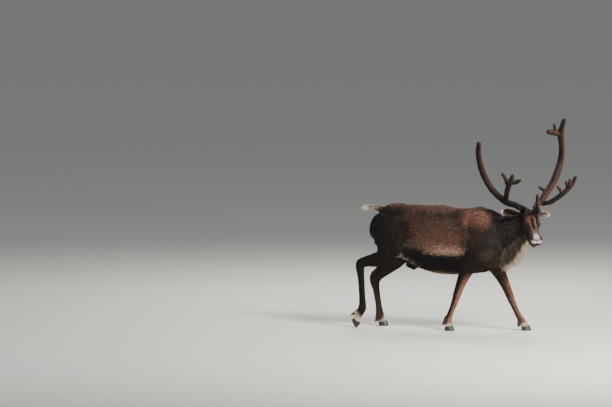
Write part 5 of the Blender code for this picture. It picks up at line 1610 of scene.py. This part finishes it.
for word, tubes, nodes in (
    ("left", ANTLER_LEFT, ("lower_beam", "brow_tine", "bez_tine", "upper_beam", "crown")),
    ("right", ANTLER_RIGHT, ("lower_beam", "bez_tine", "upper_beam")),
):
    side = 1 if word == "left" else -1
    # The right antler is darker all over: painted shade
    painted_light_level = 1.0 if word == "left" else 0.72
    bm = bmesh.new()
    for rows in tubes.values():
        add_tube(bm, [(*(CROWN @ Vector(row[:3])), row[3]) for row in rows], 28, 6)
    antler = fused(new_piece(f"antler_{word}", bm), ANTLER_GRAIN, 5)
    top = CROWN @ opposite(BURR, side)
    rise = (CROWN.to_3x3() @ opposite(BURR_RISE, side)).normalized()
    cut_near(antler.data, top, 0.056, top + rise * 0.0003, rise)
    points, facing = points_of(antler.data), ways_of(antler.data)
    over = (points - np.array(top)) @ np.array(rise)
    lumps = 0.0011 * drift(points, 0.030, 54) + 0.0006 * drift(points, 0.012, 55)
    furrow = 0.0012 * np.abs(drift(points * np.array((1, 1, 0.25)), 0.022, 56)) * ramp(over, 0.01, 0.05)
    ring = 0.0024 * np.exp(-((over - 0.012) / 0.010) ** 2) * (1 + 0.4 * drift(points, 0.010, 57))
    held = ramp(over, 0.0, 0.004)
    points = points + facing * ((lumps - furrow + ring - 0.0012) * held)[:, None]
    antler.data.vertices.foreach_set("co", points.ravel())
    antler.data.update()
    facing = ways_of(antler.data)
    # The velvet skin is painted darker than its plush: painted shade under the hair
    wear(antler.data, antler_colours(points, facing, painted_light_level) * 0.85)
    found = triangles_of(antler.data)
    place_piece(antler, plush, [f"antler_{word}_{node}" for node in nodes])
    chosen = found[over[found].mean(1) > 0.003]
    roots, outs = scattered(points, facing, chosen, np.full(len(chosen), PLUSH_PATCH), 81)
    chance = np.random.default_rng(82)
    count = len(roots)
    up = np.array((0.15, 0.1 * side, 1.0))
    ways = unit(combed(np.tile(up, (count, 1)), outs, chance.normal(0, 0.5, count)) * 0.75 + outs * 0.66)
    reach = 0.0046 * chance.uniform(0.7, 1.15, count)
    tones = antler_colours(roots, outs, painted_light_level) * chance.uniform(0.8, 1.3, count)[:, None]
    piece = hair_piece(f"antler_{word}_plush", roots, outs, ways, reach, np.full(count, 0.0017),
                       np.zeros(count), np.zeros((count, 3)), tones, spread_flat(roots), PLUSH_SHAPE,
                       0.0006, 0.4)
    place_piece(piece, plush)

# Floor, light and camera
# A plain pale floor, matt as paper, with soft studio light from above and ahead of the animal and a long
# lens at a low height. None of it is part of the model.
FLOOR_HALF = 250
CAMERA_TURN = 18
CAMERA_RISE = 5
CAMERA_AWAY = 91.4
bm = bmesh.new()
bmesh.ops.create_grid(bm, x_segments=1, y_segments=1, size=FLOOR_HALF)
floor = new_piece("studio_floor", bm)
# The floor looks even and pale, without gloss
matt = new_material("matt pale studio floor", {"Base Color": (*linear("#c9c8c4"), 1), "Roughness": 0.9})[0]
floor.data.materials.append(matt)
floor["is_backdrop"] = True

world = bpy.data.worlds.new("studio")
bpy.context.scene.world = world
world.use_nodes = True
world.node_tree.nodes["Background"].inputs["Color"].default_value = (0.80, 0.82, 0.85, 1)
world.node_tree.nodes["Background"].inputs["Strength"].default_value = 0.36
for name, place, size, power, tone in (
    ("key", (4.4, -3.2, 5.0), 2.0, 1200, (1.0, 0.94, 0.86)),
    ("fill", (-5.0, -5.5, 2.6), 4.0, 55, (0.92, 0.95, 1.0)),
    ("rim", (-1.5, 4.0, 5.0), 3.0, 420, (1.0, 0.96, 0.90)),
):
    light = bpy.data.lights.new(name, "AREA")
    light.size, light.energy, light.color = size, power, tone
    lamp = bpy.data.objects.new(name, light)
    bpy.context.scene.collection.objects.link(lamp)
    lamp.location = place
    lamp.rotation_euler = (Vector((0, 0, 0.8)) - Vector(place)).to_track_quat("-Z", "Y").to_euler()
    lamp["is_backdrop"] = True

lens = bpy.data.cameras.new("camera")
lens.lens, lens.sensor_width, lens.clip_end = 600, 36, 500
camera = bpy.data.objects.new("camera", lens)
bpy.context.scene.collection.objects.link(camera)
bpy.context.scene.camera = camera
turn, rise = math.radians(CAMERA_TURN), math.radians(CAMERA_RISE)
toward = Vector((math.sin(turn) * math.cos(rise), -math.cos(turn) * math.cos(rise), math.sin(rise)))
aim = Vector((-1.165, -0.431, 1.134)) + SHIFT
camera.location = aim + toward * CAMERA_AWAY
camera.rotation_euler = (-toward).to_track_quat("-Z", "Y").to_euler()

low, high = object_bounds()
